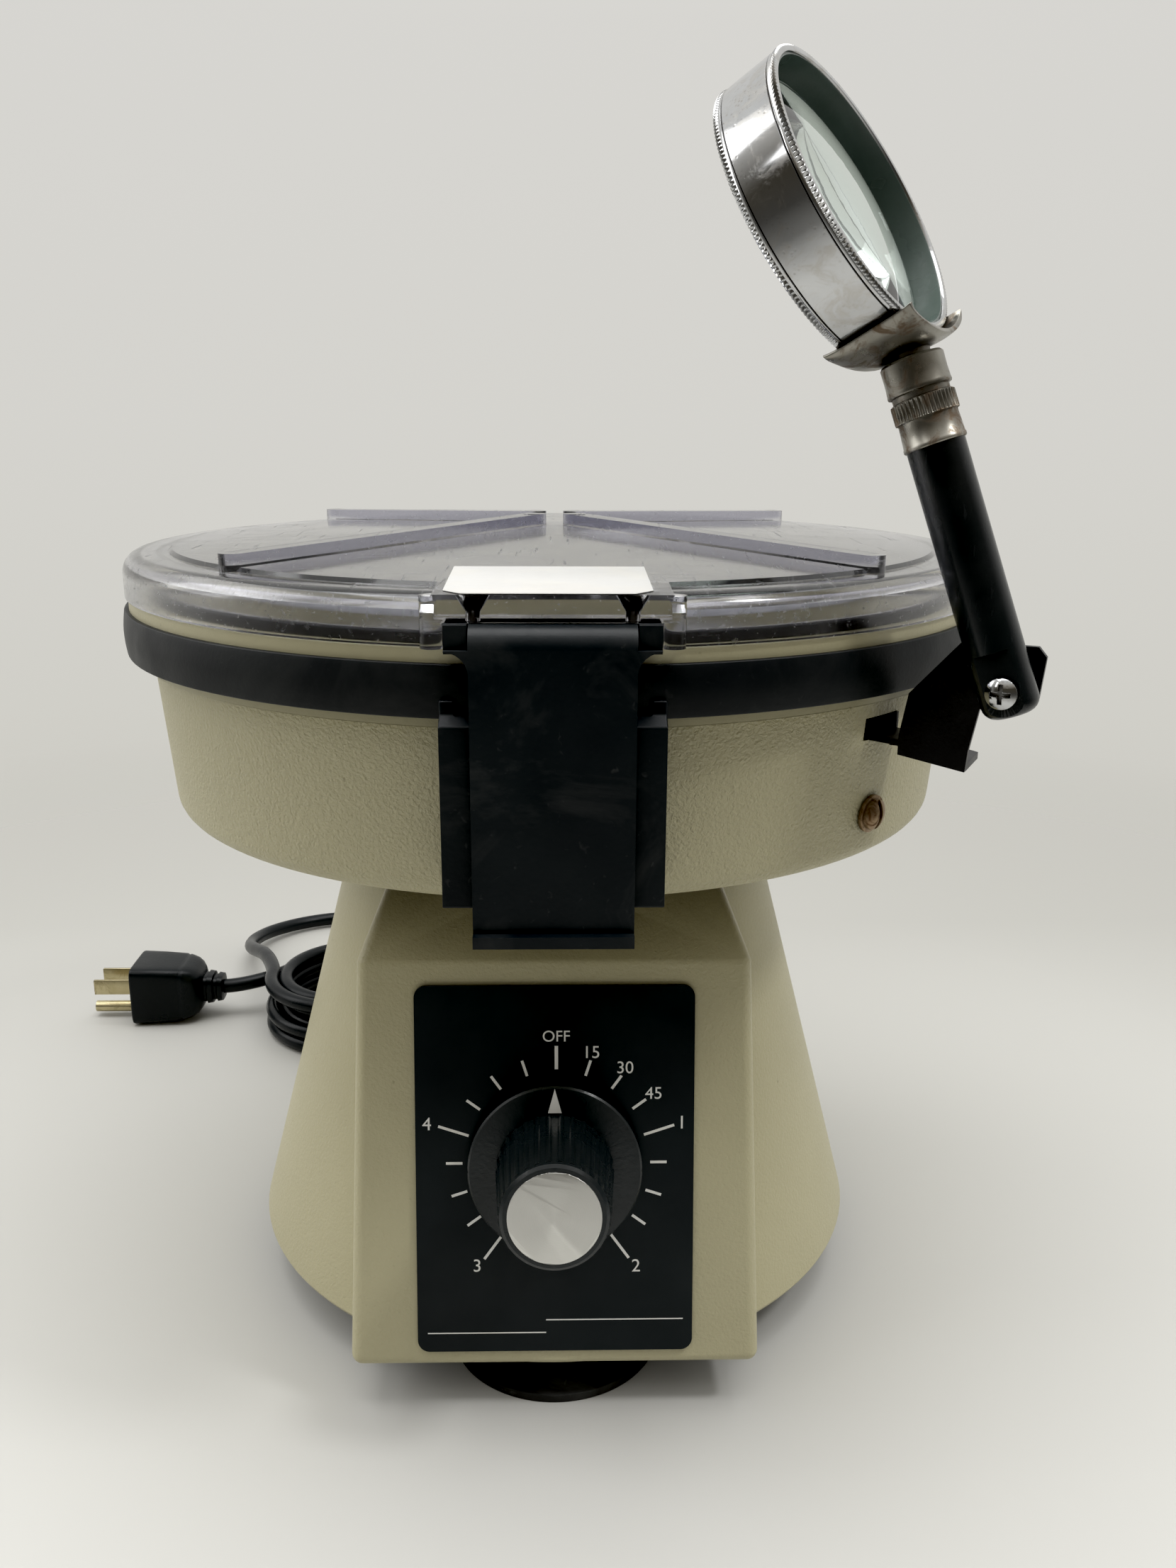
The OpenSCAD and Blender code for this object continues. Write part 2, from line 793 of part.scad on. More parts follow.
module latch_strap() {
    color([0.05, 0.06, 0.07])
    union() {
        translate([-strap_half, strap_front, strap_bottom])
            cube([2 * strap_half, strap_t, strap_pivot[2] - strap_bottom]);
        intersection() {
            strap_axis(strap_bend, strap_half);
            translate([-strap_half, strap_front, strap_pivot[2]])
                cube([2 * strap_half, strap_bend, strap_bend]);
        }
        strap_axis(1.9, strap_half);
        strap_axis(1.2, strap_half + 2.8);
        translate([-strap_half, lip_front, strap_bottom]) cube([2 * strap_half, 4, 2.7]);
        for (s = [0, 1])
            mirror([s, 0, 0])
            translate([0, strap_front + 1.7, 0])
            rotate([90, 0, 0])
            linear_extrude(1.7)
            polygon(concat(
                [[strap_half - 0.1, strap_pivot[2]], [strap_half - 0.1, strap_pivot[2] - 5.4]],
                arc(strap_half + 5, strap_pivot[2] - 5.2, 5, 180, 90, 6),
                [[strap_half + 5, strap_pivot[2]]]));
        translate([-12, strap_front + 2, 160]) cube([24, 4.4, 4]);
    }
}

module latch_guide() {
    color([0.06, 0.07, 0.09])
    difference() {
        union() {
            translate([-rail_half, -117, rail_bottom]) cube([2 * rail_half, 10, rail_top - rail_bottom]);
            for (s = [-1, 1]) {
                translate([s > 0 ? rail_half - 3.3 : -rail_half, 0, 0])
                    rotate([90, 0, 90])
                    linear_extrude(3.3)
                    polygon([[rail_front, rail_bottom], [rail_front + 8, rail_bottom],
                        [rail_front + 8, rail_top], [rail_front + 3, rail_top],
                        [rail_front + 3, rail_top - 3], [rail_front, rail_top - 5]]);
                translate([s > 0 ? strap_half - 0.1 : -rail_half, 0, 0])
                    rotate([90, 0, 90])
                    linear_extrude(rail_half - strap_half + 0.1)
                    polygon([[rail_front, rail_bottom], [rail_front + 3, rail_bottom],
                        [rail_front + 3, rail_top - 3], [rail_front, rail_top - 5]]);
            }
            translate([-12, -119.3, 168]) cube([24, 3, 7]);
        }
        rotate_extrude()
        polygon([[0, 140], [bowl_r(140) + gap, 140], [bowl_r(step_z) + gap, step_z],
            [step_r + gap, step_z], [step_r + gap, bumper_z[0] - gap],
            [bumper_r + bumper_bulge + gap, bumper_z[0] - gap],
            [bumper_r + bumper_bulge + gap, 210], [0, 210]]);
    }
}

// ---------- rear hinge ----------

module hinge_bracket() {
    color([0.07, 0.08, 0.09])
    difference() {
        union() {
            translate([-ear_half, 108, 172]) cube([2 * ear_half, 13.5, 18]);
            translate([-ear_half, 121.4, 172]) cube([2 * ear_half, 3, 29]);
            for (s = [-1, 1]) translate([s > 0 ? leaf_half + 0.3 : -ear_half, 0, 0]) {
                translate([0, 121.4, 198]) cube([ear_half - leaf_half - 0.3, 5, hinge_z - 198]);
                translate([0, hinge_y, hinge_z]) rotate([0, 90, 0])
                    cylinder(r = knuckle_r, h = ear_half - leaf_half - 0.3);
            }
        }
        rotate_extrude()
        polygon([[0, 150], [bowl_r(150) + gap, 150], [bowl_r(step_z) + gap, step_z], [0, step_z]]);
        translate([-30, hinge_y, hinge_z]) rotate([0, 90, 0]) cylinder(r = hinge_pin_r, h = 60);
    }
}

module hinge_pin() {
    color([0.74, 0.75, 0.76])
    translate([-ear_half - 0.8, hinge_y, hinge_z]) rotate([0, 90, 0])
    cylinder(r = hinge_pin_r, h = 2 * ear_half + 1.6);
}

module hinge_leaf() {
    color([0.07, 0.08, 0.09])
    difference() {
        union() {
            translate([-leaf_half, hinge_y, hinge_z])
                rotate([0, 90, 0]) cylinder(r = knuckle_r, h = 2 * leaf_half);
            translate([-leaf_half, 121.5, hinge_z]) cube([2 * leaf_half, 4, 13]);
            translate([-leaf_half, 117, 211.6]) cube([2 * leaf_half, 6, 7.4]);
        }
        post(lid_r + gap, 190, 230);
        translate([-30, hinge_y, hinge_z]) rotate([0, 90, 0]) cylinder(r = hinge_pin_r + run, h = 60);
        for (s = [-1, 1]) translate([s * 7, 112, 216]) rotate([-90, 0, 0]) cylinder(r = 1.5 + gap, h = 20);
    }
}

module hinge_screws() {
    color([0.62, 0.63, 0.64])
    for (s = [-1, 1]) translate([s * 7, 112.5, 216]) rotate([-90, 0, 0]) {
        cylinder(r = 1.5, h = 13);
        translate([0, 0, 13]) cylinder(r = 2.8, h = 1.6);
    }
}

// ---------- magnifier ----------

module lens_bracket() {
    color([0.04, 0.04, 0.045])
    difference() {
        union() {
            at_pivot() translate([0, flat_half + plate_gap + bracket_t, -pivot[2]])
                rotate([90, 0, 0]) linear_extrude(bracket_t)
                polygon([[-24.4, 181.2], [-24.4, 186], [-22.7, 196.1], [-11.4, 209.2], [5.2, 209.2],
                    [7.1, 207], [6.2, 197.5], [2, 194], [-6.4, 194], [-8.2, 184], [-8.6, 178.8]]);
            at_pivot() translate([0, flat_half + plate_gap + 15, -pivot[2]])
                rotate([90, 0, 0]) linear_extrude(15)
                polygon([[-26.4, arm_z[0]], [-24.6, arm_z[0]], [-20.6, 180.9], [-8.6, 178.8],
                    [-8.6, 180.4], [-20.2, 182.5], [-24.2, arm_z[1]], [-26.4, arm_z[1]]]);
            rotate([0, 0, arm_az]) translate([105.2, -5.3, arm_z[0]])
                cube([14, 10.6, arm_z[1] - arm_z[0]]);
            rotate([0, 0, arm_az]) translate([105.2, -6, 159.4]) cube([1.6, 12, 20]);
            rotate([0, 0, arm_az]) translate([105.2, -7.2, 178]) cube([1.6, 14.4, 12.4]);
            rotate([0, 0, arm_az]) translate([105.2, 5.9, 183.2]) cube([8.6, 0.85, 5.4]);
        }
        at_pivot() rotate([-90, 0, 0]) cylinder(r = 2.2 + gap, h = 20);
        on_wall(arm_az, fix_z, -12) cylinder(r = 2 + gap, h = 20);
    }
}

module bracket_screw() {
    color([0.42, 0.33, 0.26])
    on_wall(arm_az, fix_z) {
        ring(2, 4.8, 0.05, 0.95);
        difference() {
            union() {
                translate([0, 0, -10.4]) cylinder(r = 2, h = 11.4);
                translate([0, 0, 0.95]) intersection() {
                    cylinder(r = 3.9, h = 2.6);
                    translate([0, 0, -3.4]) sphere(r = 6);
                }
            }
            translate([-5, -0.7, 1.9]) cube([10, 1.4, 3]);
        }
        translate([0, 0, -9.4]) difference() {
            cylinder(r = 4, h = 2.8, $fn = 6);
            translate([0, 0, -1]) cylinder(r = 2, h = 5);
        }
    }
}

module pivot_screw() {
    color([0.72, 0.72, 0.72])
    at_pivot() {
        translate([0, -flat_half - 0.1, 0]) rotate([-90, 0, 0]) cylinder(r = 2.2, h = 17);
        difference() {
            intersection() {
                translate([0, -flat_half - 2.7, 0]) rotate([-90, 0, 0]) cylinder(r = 3.45, h = 2.6);
                translate([0, 2.4 - flat_half, 0]) sphere(r = 5.2);
            }
            for (a = [0, 90]) rotate([0, a, 0])
                translate([-2.2, -flat_half - 4, -0.5]) cube([4.4, 2.9, 1]);
        }
        translate([0, flat_half + 0.05, 0]) rotate([-90, 0, 0]) ring(2.2, 5, 0, 0.5);
        translate([0, flat_half + plate_gap + bracket_t, 0]) rotate([-90, 0, 0]) difference() {
            cylinder(r = 4.2, h = 3.2, $fn = 6);
            translate([0, 0, -1]) cylinder(r = 2.2, h = 6);
        }
    }
}

module magnifier_handle() {
    color([0.03, 0.03, 0.035])
    difference() {
        on_handle(rod_foot) rotate_extrude()
            polygon(concat([[0, 0]], arc(rod_r - 3.2, 3.2, 3.2, -90, 0, 6),
                [[rod_r, rod_top - rod_foot], [0, rod_top - rod_foot]]));
        on_handle(rod_foot - 1) {
            translate([-10, -flat_half - 5, 0]) cube([20, 5, 16]);
            translate([-10, flat_half, 0]) cube([20, 5, 21]);
        }
        at_pivot() translate([0, -20, 0]) rotate([-90, 0, 0]) cylinder(r = 2.2 + run, h = 40);
        on_handle(rod_top - 8) cylinder(r = stem_r + 0.2, h = 12);
    }
}

module ferrule() {
    color([0.42, 0.40, 0.36])
    on_handle(0)
    difference() {
        union() {
            translate([0, 0, rod_top]) cylinder(r1 = 6.8, r2 = 6.45, h = cone_top - rod_top);
            post(7.0, cone_top, collar_top);
        }
        post(stem_r + run, rod_top - 1, collar_top + 1);
    }
}

module lens_stem() {
    color([0.40, 0.38, 0.34])
    union() {
        on_handle(0) {
            post(stem_r, rod_top - 6, collar_top + 1);
            post(6.2, collar_top + 0.1, neck_top);
            post(6.9, neck_top, socket_top);
        }
        on_head() post(4, -1.4, 2.4);
        lens_turn()
        translate([0, 0, ring_mid])
        intersection() {
            difference() {
                ring(lens_ring_r + 0.1, lens_ring_r + 0.1 + yoke_t, -10.4, 10.4);
                translate([-60, -20, -20]) cube([60, 40, 40]);
            }
            translate([20, -8, -20]) cube([30, 16, 40]);
        }
        for (s = [-1, 1])
            lens_turn()
            translate([0, 0, ring_mid])
            intersection() {
                ring(lens_ring_r - 3, lens_ring_r + 0.1 + yoke_t, s > 0 ? 9.2 : -10.4, s > 0 ? 10.4 : -9.2);
                translate([20, -5, -20]) cube([30, 10, 40]);
            }
    }
}

module lens_ring() {
    color([0.86, 0.87, 0.88])
    lens_turn()
    translate([0, 0, ring_mid])
    rotate_extrude()
    difference() {
        translate([lens_ring_r - 1.8, -lens_ring_w / 2]) square([1.8, lens_ring_w]);
        for (s = [-1, 1]) translate([lens_ring_r - 0.2, s * 5.6 - 0.25]) square([1, 0.5]);
    }
}

module magnifier_lens() {
    color([0.75, 0.85, 0.80, 0.35])
    lens_turn()
    translate([0, 0, ring_mid])
    rotate_extrude()
    polygon(concat(
        [for (i = [0:12]) let (r = (lens_ring_r - 1.8) * i / 12) [r, sqrt(112 * 112 - r * r) - 107]],
        [for (i = [12:-1:0]) let (r = (lens_ring_r - 1.8) * i / 12) [r, 107 - sqrt(112 * 112 - r * r)]]));
}

// ---------- mains cord ----------

module strain_relief() {
    color([0.06, 0.06, 0.06])
    translate([0, 0, exit_z]) rotate([-90, 0, 0])
    difference() {
        union() {
            translate([0, 0, 84]) cylinder(r = 6, h = 10);
            translate([0, 0, 93.8]) cylinder(r = 8, h = 2.4);
            translate([0, 0, 96.2]) cylinder(r1 = 6.2, r2 = 4.6, h = exit_y - 96.2);
            translate([0, 0, 84]) cylinder(r = 6.8, h = 2.2);
        }
        for (i = [0:3]) translate([0, 0, 99 + 5 * i]) ring(4.9 - i * 0.22, 8, 0, 1.8);
    }
}

function unit(v) = v / norm(v);

function curve(p, i, t) =
    let (n = len(p), a = p[max(i - 1, 0)], b = p[i], c = p[i + 1], d = p[min(i + 2, n - 1)])
    0.5 * (2 * b + (c - a) * t + (2 * a - 5 * b + 4 * c - d) * t * t + (3 * b - a - 3 * c + d) * t * t * t);

// a round tube swept along a smooth curve through the points
module sweep(points, r, sides, steps) {
    line = [
        for (i = [0:len(points) - 2], k = [0:steps - 1]) curve(points, i, k / steps),
        points[len(points) - 1]];
    last = len(line) - 1;
    dirs = [for (i = [0:last]) unit(line[min(i + 1, last)] - line[max(i - 1, 0)])];
    rings = [for (i = [0:last]) let (
            u = unit(cross(dirs[i], [0, 0, 1])),
            v = cross(u, dirs[i]))
        for (k = [0:sides - 1]) line[i] + r * cos(360 * k / sides) * u + r * sin(360 * k / sides) * v];
    polyhedron(
        points = rings,
        faces = concat(
            [[for (k = [0:sides - 1]) k]],
            [for (i = [0:last - 1], k = [0:sides - 1]) let (m = (k + 1) % sides)
                [i * sides + k, (i + 1) * sides + k, (i + 1) * sides + m, i * sides + m]],
            [[for (k = [sides - 1:-1:0]) last * sides + k]]),
        convexity = 6);
}

module power_cord() {
    color([0.05, 0.05, 0.055]) {
        sweep(cord_route, cord_d / 2, 10, 2);
        sweep(plug_route, cord_d / 2, 10, 1);
    }
}

module cord_coil() {
    color([0.05, 0.05, 0.055])
    translate([coil_at[0], coil_at[1], coil_z[0]])
    rotate_extrude()
    polygon(concat(
        arc(coil_r + coil_half_w - 2.5, 2.5, 2.5, -90, 0, 4),
        arc(coil_r + coil_half_w - 2.5, coil_z[1] - coil_z[0] - 2.5, 2.5, 0, 90, 4),
        arc(coil_r - coil_half_w + 2.5, coil_z[1] - coil_z[0] - 2.5, 2.5, 90, 180, 4),
        arc(coil_r - coil_half_w + 2.5, 2.5, 2.5, 180, 270, 4)));
}

module plug() {
    color([0.05, 0.05, 0.055])
    translate(plug_at) rotate([0, -90, 0]) {
        cylinder(r1 = 4.6, r2 = 6.5, h = 9);
        translate([-10, -9, 8]) cube([20, 18, 6]);
        translate([-13, -13, 13]) cube([26, 26, 22]);
    }
}

module plug_blades() {
    color([0.72, 0.68, 0.55])
    translate(plug_at) rotate([0, -90, 0]) {
        for (y = [-6.35, 6.35]) translate([-0.5, y - 0.75, 35]) cube([6.4, 1.5, 17]);
        translate([-9.2, 0, 35]) cylinder(r = 2.4, h = 19);
    }
}

bowl();
bumper_ring();
bowl_gasket();
base_shell();
base_screws();
base_plate();
base_plate_screws();
foot_front();
foot_right();
foot_left();
foot_bolts();
control_plate();
timer_body();
timer_nut();
timer_spindle();
timer_knob();
knob_cap();
knob_pointer();
knob_set_screw();
motor_plate();
motor_mounts();
motor_screws();
motor_shell();
motor_end_bell();
field_stack();
field_windings();
brush_caps();
carbon_brushes();
bearings();
motor_shaft();
armature();
commutator();
cooling_fan();
rotor_plate();
tube_gasket();
rotor_cover();
rotor_nut();
lid_shell();
lid_label();
lid_rivets();
latch_block();
latch_strap();
latch_guide();
hinge_bracket();
hinge_pin();
hinge_leaf();
hinge_screws();
lens_bracket();
bracket_screw();
pivot_screw();
magnifier_handle();
ferrule();
lens_stem();
lens_ring();
magnifier_lens();
strain_relief();
power_cord();
cord_coil();
plug();
plug_blades();
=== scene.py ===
import json
import math

import bmesh
import bpy
from mathutils import Matrix, Vector


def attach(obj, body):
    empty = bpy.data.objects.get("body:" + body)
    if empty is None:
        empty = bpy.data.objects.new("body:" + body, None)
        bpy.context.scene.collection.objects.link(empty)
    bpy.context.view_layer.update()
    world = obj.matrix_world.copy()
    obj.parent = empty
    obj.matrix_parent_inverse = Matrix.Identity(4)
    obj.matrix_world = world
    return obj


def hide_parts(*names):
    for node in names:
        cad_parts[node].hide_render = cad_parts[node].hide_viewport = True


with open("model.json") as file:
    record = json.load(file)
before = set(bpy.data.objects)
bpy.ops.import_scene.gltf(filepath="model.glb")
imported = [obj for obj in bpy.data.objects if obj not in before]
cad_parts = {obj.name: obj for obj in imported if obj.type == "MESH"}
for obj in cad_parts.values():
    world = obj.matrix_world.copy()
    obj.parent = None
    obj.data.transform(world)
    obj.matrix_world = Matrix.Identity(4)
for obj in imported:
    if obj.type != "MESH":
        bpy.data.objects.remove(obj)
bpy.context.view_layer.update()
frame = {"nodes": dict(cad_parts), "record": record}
MM = 0.001


# ---------- camera, floor and light ----------

SENSOR_MM = 36
FOCAL_PX = 1858
PHOTO_HEIGHT_PX = 2212
CAMERA_PLACE = (0.0012, -0.3900, 0.2576)
PITCH, YAW, ROLL = 0.2720, 0.0228, 0.0049


def make_camera():
    """The camera fitted to the photo: PITCH is downward, YAW to the right, all in radians."""
    forward = Vector((math.sin(YAW) * math.cos(PITCH), math.cos(YAW) * math.cos(PITCH), -math.sin(PITCH)))
    level = Vector((math.cos(YAW), -math.sin(YAW), 0))
    upright = level.cross(forward)
    side = math.cos(ROLL) * level + math.sin(ROLL) * upright
    up = -math.sin(ROLL) * level + math.cos(ROLL) * upright
    data = bpy.data.cameras.new("camera")
    data.sensor_fit = "VERTICAL"
    data.sensor_height = SENSOR_MM
    data.lens = SENSOR_MM * FOCAL_PX / PHOTO_HEIGHT_PX
    data.clip_start = 0.01
    cam = bpy.data.objects.new("camera", data)
    bpy.context.scene.collection.objects.link(cam)
    m = Matrix((side, up, -forward)).transposed().to_4x4()
    m.translation = Vector(CAMERA_PLACE)
    cam.matrix_world = m
    bpy.context.scene.camera = cam


def area(name, place, look, size, power):
    """A rectangular lamp at place, turned to face look."""
    data = bpy.data.lights.new(name, "AREA")
    data.shape = "RECTANGLE"
    data.size, data.size_y = size
    data.energy = power
    o = bpy.data.objects.new(name, data)
    o.location = place
    o.rotation_euler = (Vector(look) - Vector(place)).to_track_quat("-Z", "Y").to_euler()
    bpy.context.scene.collection.objects.link(o)


def make_world():
    """A pale wall behind and a dim room in front, both brighter towards the ceiling."""
    world = bpy.data.worlds.new("room")
    bpy.context.scene.world = world
    world.use_nodes = True
    tree = world.node_tree
    back = tree.nodes["Background"]
    where = tree.nodes.new("ShaderNodeTexCoord")
    split = tree.nodes.new("ShaderNodeSeparateXYZ")
    tree.links.new(where.outputs["Generated"], split.inputs[0])

    def ramp(axis, stops):
        """Colours along one axis of the view direction, from -1 to 1."""
        low, high = -1, 1
        span = tree.nodes.new("ShaderNodeMapRange")
        tree.links.new(split.outputs[axis], span.inputs["Value"])
        span.inputs["From Min"].default_value = low
        span.inputs["From Max"].default_value = high
        node = tree.nodes.new("ShaderNodeValToRGB")
        tree.links.new(span.outputs[0], node.inputs[0])
        marks = node.color_ramp.elements
        while len(marks) < len(stops):
            marks.new(0.5)
        for mark, (at, colour) in zip(marks, stops):
            mark.position = (at - low) / (high - low)
            mark.color = (*colour, 1)
        return node.outputs[0]

    wall = ramp(2, [(-0.432, (0.62, 0.61, 0.575)),
                    (-0.412, (0.56, 0.55, 0.505)),
                    (-0.2, (0.635, 0.625, 0.58)),
                    (0.0, (0.665, 0.655, 0.62)),
                    (0.25, (0.68, 0.67, 0.64)),
                    (0.8, (0.95, 0.95, 0.93))])
    room = ramp(2, [(-0.4, (0.24, 0.236, 0.22)),
                    (-0.1, (0.078, 0.075, 0.068)),
                    (0.35, (0.08, 0.070, 0.052)),
                    (0.6, (0.44, 0.41, 0.36)),
                    (0.9, (0.9, 0.9, 0.88))])
    front = ramp(1, [(-0.45, (1, 1, 1)), (0.2, (0, 0, 0))])
    mix = tree.nodes.new("ShaderNodeMix")
    mix.data_type = "RGBA"
    tree.links.new(front, mix.inputs["Factor"])
    tree.links.new(wall, mix.inputs[6])
    tree.links.new(room, mix.inputs[7])
    tree.links.new(mix.outputs[2], back.inputs["Color"])


BLACK_LEVEL = 0.008
FLOOR_RADIUS = 3.0
FLOOR_FADE = (0.30, 0.75)


def make_room():
    """Lamps, backdrop and floor, with the tone of the photo's blacks."""
    view = bpy.context.scene.view_settings
    view.view_transform = "Standard"
    view.use_curve_mapping = True
    view.curve_mapping.black_level = (BLACK_LEVEL,) * 3
    make_world()
    area("light_top", (0.0, -0.02, 1.3), (0, -0.05, 0), (1.2, 0.9), 12.0)
    area("light_left", (-1.05, 0.15, 0.75), (0, 0, 0.15), (0.6, 0.9), 4.0)
    area("light_right", (0.75, -0.35, 1.15), (0, -0.05, 0.15), (0.17, 0.17), 4.2)
    area("light_window", (-0.85, -0.55, 0.95), (0, -0.1, 0.2), (0.16, 0.5), 0.9)
    bm = bmesh.new()
    bmesh.ops.create_circle(bm, cap_ends=True, segments=96, radius=FLOOR_RADIUS)
    floor = add_mesh("floor", bm)
    floor.data.materials.append(floor_material())


# ---------- node helpers ----------

def rgba(value):
    """A plain colour with its alpha; a socket as it is."""
    return (*value, 1) if isinstance(value, tuple) else value


class Nodes:
    """One material's node tree, with short ways to add and join nodes."""

    def __init__(self, name):
        self.mat = bpy.data.materials.new(name)
        self.mat.use_nodes = True
        self.tree = self.mat.node_tree
        self.tree.nodes.clear()
        self.out = self.add("ShaderNodeOutputMaterial")
        self.coord = self.add("ShaderNodeTexCoord").outputs["Object"]

    def add(self, kind, **values):
        node = self.tree.nodes.new(kind)
        for key, value in values.items():
            setattr(node, key, value)
        return node

    def link(self, a, b):
        self.tree.links.new(a, b)

    def put(self, socket, value):
        if isinstance(value, bpy.types.NodeSocket):
            self.link(value, socket)
        else:
            socket.default_value = value

    def math(self, op, a, b=0.0, clamp=False):
        n = self.add("ShaderNodeMath", operation=op, use_clamp=clamp)
        self.put(n.inputs[0], a)
        self.put(n.inputs[1], b)
        return n.outputs[0]

    def scaled(self, stretch):
        n = self.add("ShaderNodeMapping")
        self.link(self.coord, n.inputs["Vector"])
        n.inputs["Scale"].default_value = stretch
        return n.outputs[0]

    def noise(self, scale, detail=3.0, rough=0.55, stretch=None, distortion=0.0):
        n = self.add("ShaderNodeTexNoise")
        self.link(self.scaled(stretch) if stretch else self.coord, n.inputs["Vector"])
        n.inputs["Scale"].default_value = scale
        n.inputs["Detail"].default_value = detail
        n.inputs["Roughness"].default_value = rough
        n.inputs["Distortion"].default_value = distortion
        return n.outputs["Fac"]

    def axes(self, vector):
        """The x, y and z outputs of a vector."""
        split = self.add("ShaderNodeSeparateXYZ")
        self.link(vector, split.inputs[0])
        return split.outputs

    def cells(self, scale, feature="F1"):
        n = self.add("ShaderNodeTexVoronoi", feature=feature)
        self.link(self.coord, n.inputs["Vector"])
        n.inputs["Scale"].default_value = scale
        return n.outputs["Distance"]

    def ramp(self, fac, low, high, a=0.0, b=1.0):
        n = self.add("ShaderNodeMapRange", clamp=True)
        self.put(n.inputs["Value"], fac)
        n.inputs["From Min"].default_value = low
        n.inputs["From Max"].default_value = high
        n.inputs["To Min"].default_value = a
        n.inputs["To Max"].default_value = b
        return n.outputs[0]

    def mix(self, fac, a, b):
        n = self.add("ShaderNodeMix", data_type="RGBA")
        self.put(n.inputs["Factor"], fac)
        self.put(n.inputs[6], rgba(a))
        self.put(n.inputs[7], rgba(b))
        return n.outputs[2]

    def bump(self, height, distance, strength=1.0, normal=None):
        n = self.add("ShaderNodeBump")
        self.put(n.inputs["Height"], height)
        n.inputs["Distance"].default_value = distance
        n.inputs["Strength"].default_value = strength
        if normal:
            self.link(normal, n.inputs["Normal"])
        return n.outputs[0]

    def hollows(self, distance, low, high, a, b):
        """Runs from a to b as the surroundings within distance open up."""
        n = self.add("ShaderNodeAmbientOcclusion", samples=6)
        n.inputs["Distance"].default_value = distance
        return self.ramp(n.outputs["AO"], low, high, a, b)

    def shader(self, colour, rough, metallic=0.0, normal=None, **extra):
        """The surface; an extra's name is its input's, with underscores for spaces."""
        n = self.add("ShaderNodeBsdfPrincipled")
        self.put(n.inputs["Base Color"], rgba(colour))
        self.put(n.inputs["Roughness"], rough)
        self.put(n.inputs["Metallic"], metallic)
        if normal:
            self.link(normal, n.inputs["Normal"])
        for key, value in extra.items():
            self.put(n.inputs[key.replace("_", " ")], value)
        self.link(n.outputs[0], self.out.inputs["Surface"])
        return n


def floor_material():
    """Pale table top with painted shade darkening it towards the back, that fades into the backdrop."""
    m = Nodes("floor")
    cloud = m.noise(5, 2)
    diffuse = m.add("ShaderNodeBsdfPrincipled")
    # painted shade: the floor's colour darkens towards (0.41, 0.405, 0.38) from y -0.12 m to 0.26 m
    far = m.ramp(m.axes(m.coord)[1], -0.12, 0.26)
    pale = m.mix(cloud, (0.56, 0.556, 0.53), (0.585, 0.581, 0.558))
    m.put(diffuse.inputs["Base Color"], m.mix(far, pale, (0.41, 0.405, 0.38)))
    diffuse.inputs["Roughness"].default_value = 0.5
    diffuse.inputs["Specular IOR Level"].default_value = 0.2
    length = m.add("ShaderNodeVectorMath", operation="LENGTH")
    m.link(m.coord, length.inputs[0])
    fade = m.ramp(length.outputs["Value"], *FLOOR_FADE)
    clear = m.add("ShaderNodeBsdfTransparent")
    both = m.add("ShaderNodeMixShader")
    m.link(fade, both.inputs[0])
    m.link(diffuse.outputs[0], both.inputs[1])
    m.link(clear.outputs[0], both.inputs[2])
    m.link(both.outputs[0], m.out.inputs["Surface"])
    return m.mat


# ---------- materials ----------

def moulded(name, low, high, rough=0.5, grain=900, depth=0.00006, dust=0.0, spec=0.25, streak=None):
    """Moulded plastic or rubber: mottled colour, a fine grain, and dust or rubbed marks."""
    m = Nodes(name)
    colour = m.mix(m.ramp(m.noise(22, 4), 0.35, 0.65), low, high)
    if dust:
        specks = m.ramp(m.noise(420, 2, 0.6, distortion=0.6), 0.66, 0.78)
        haze = m.ramp(m.noise(30, 5, 0.65, distortion=1.0), 0.5, 0.8)
        amount = m.math("MULTIPLY", m.math("ADD", m.math("MULTIPLY", specks, 0.6), haze), dust, clamp=True)
        colour = m.mix(amount, colour, (0.22, 0.22, 0.21))
    r = m.ramp(m.noise(60, 3), 0.3, 0.7, rough - 0.06, rough + 0.08)
    if streak:
        lines = m.ramp(m.noise(900, 2, stretch=streak), 0.62, 0.72)
        r = m.math("ADD", r, m.math("MULTIPLY", lines, 0.12))
    normal = m.bump(m.noise(grain, 2), depth, 0.6)
    m.shader(colour, r, normal=normal, Specular_IOR_Level=spec)
    return m.mat


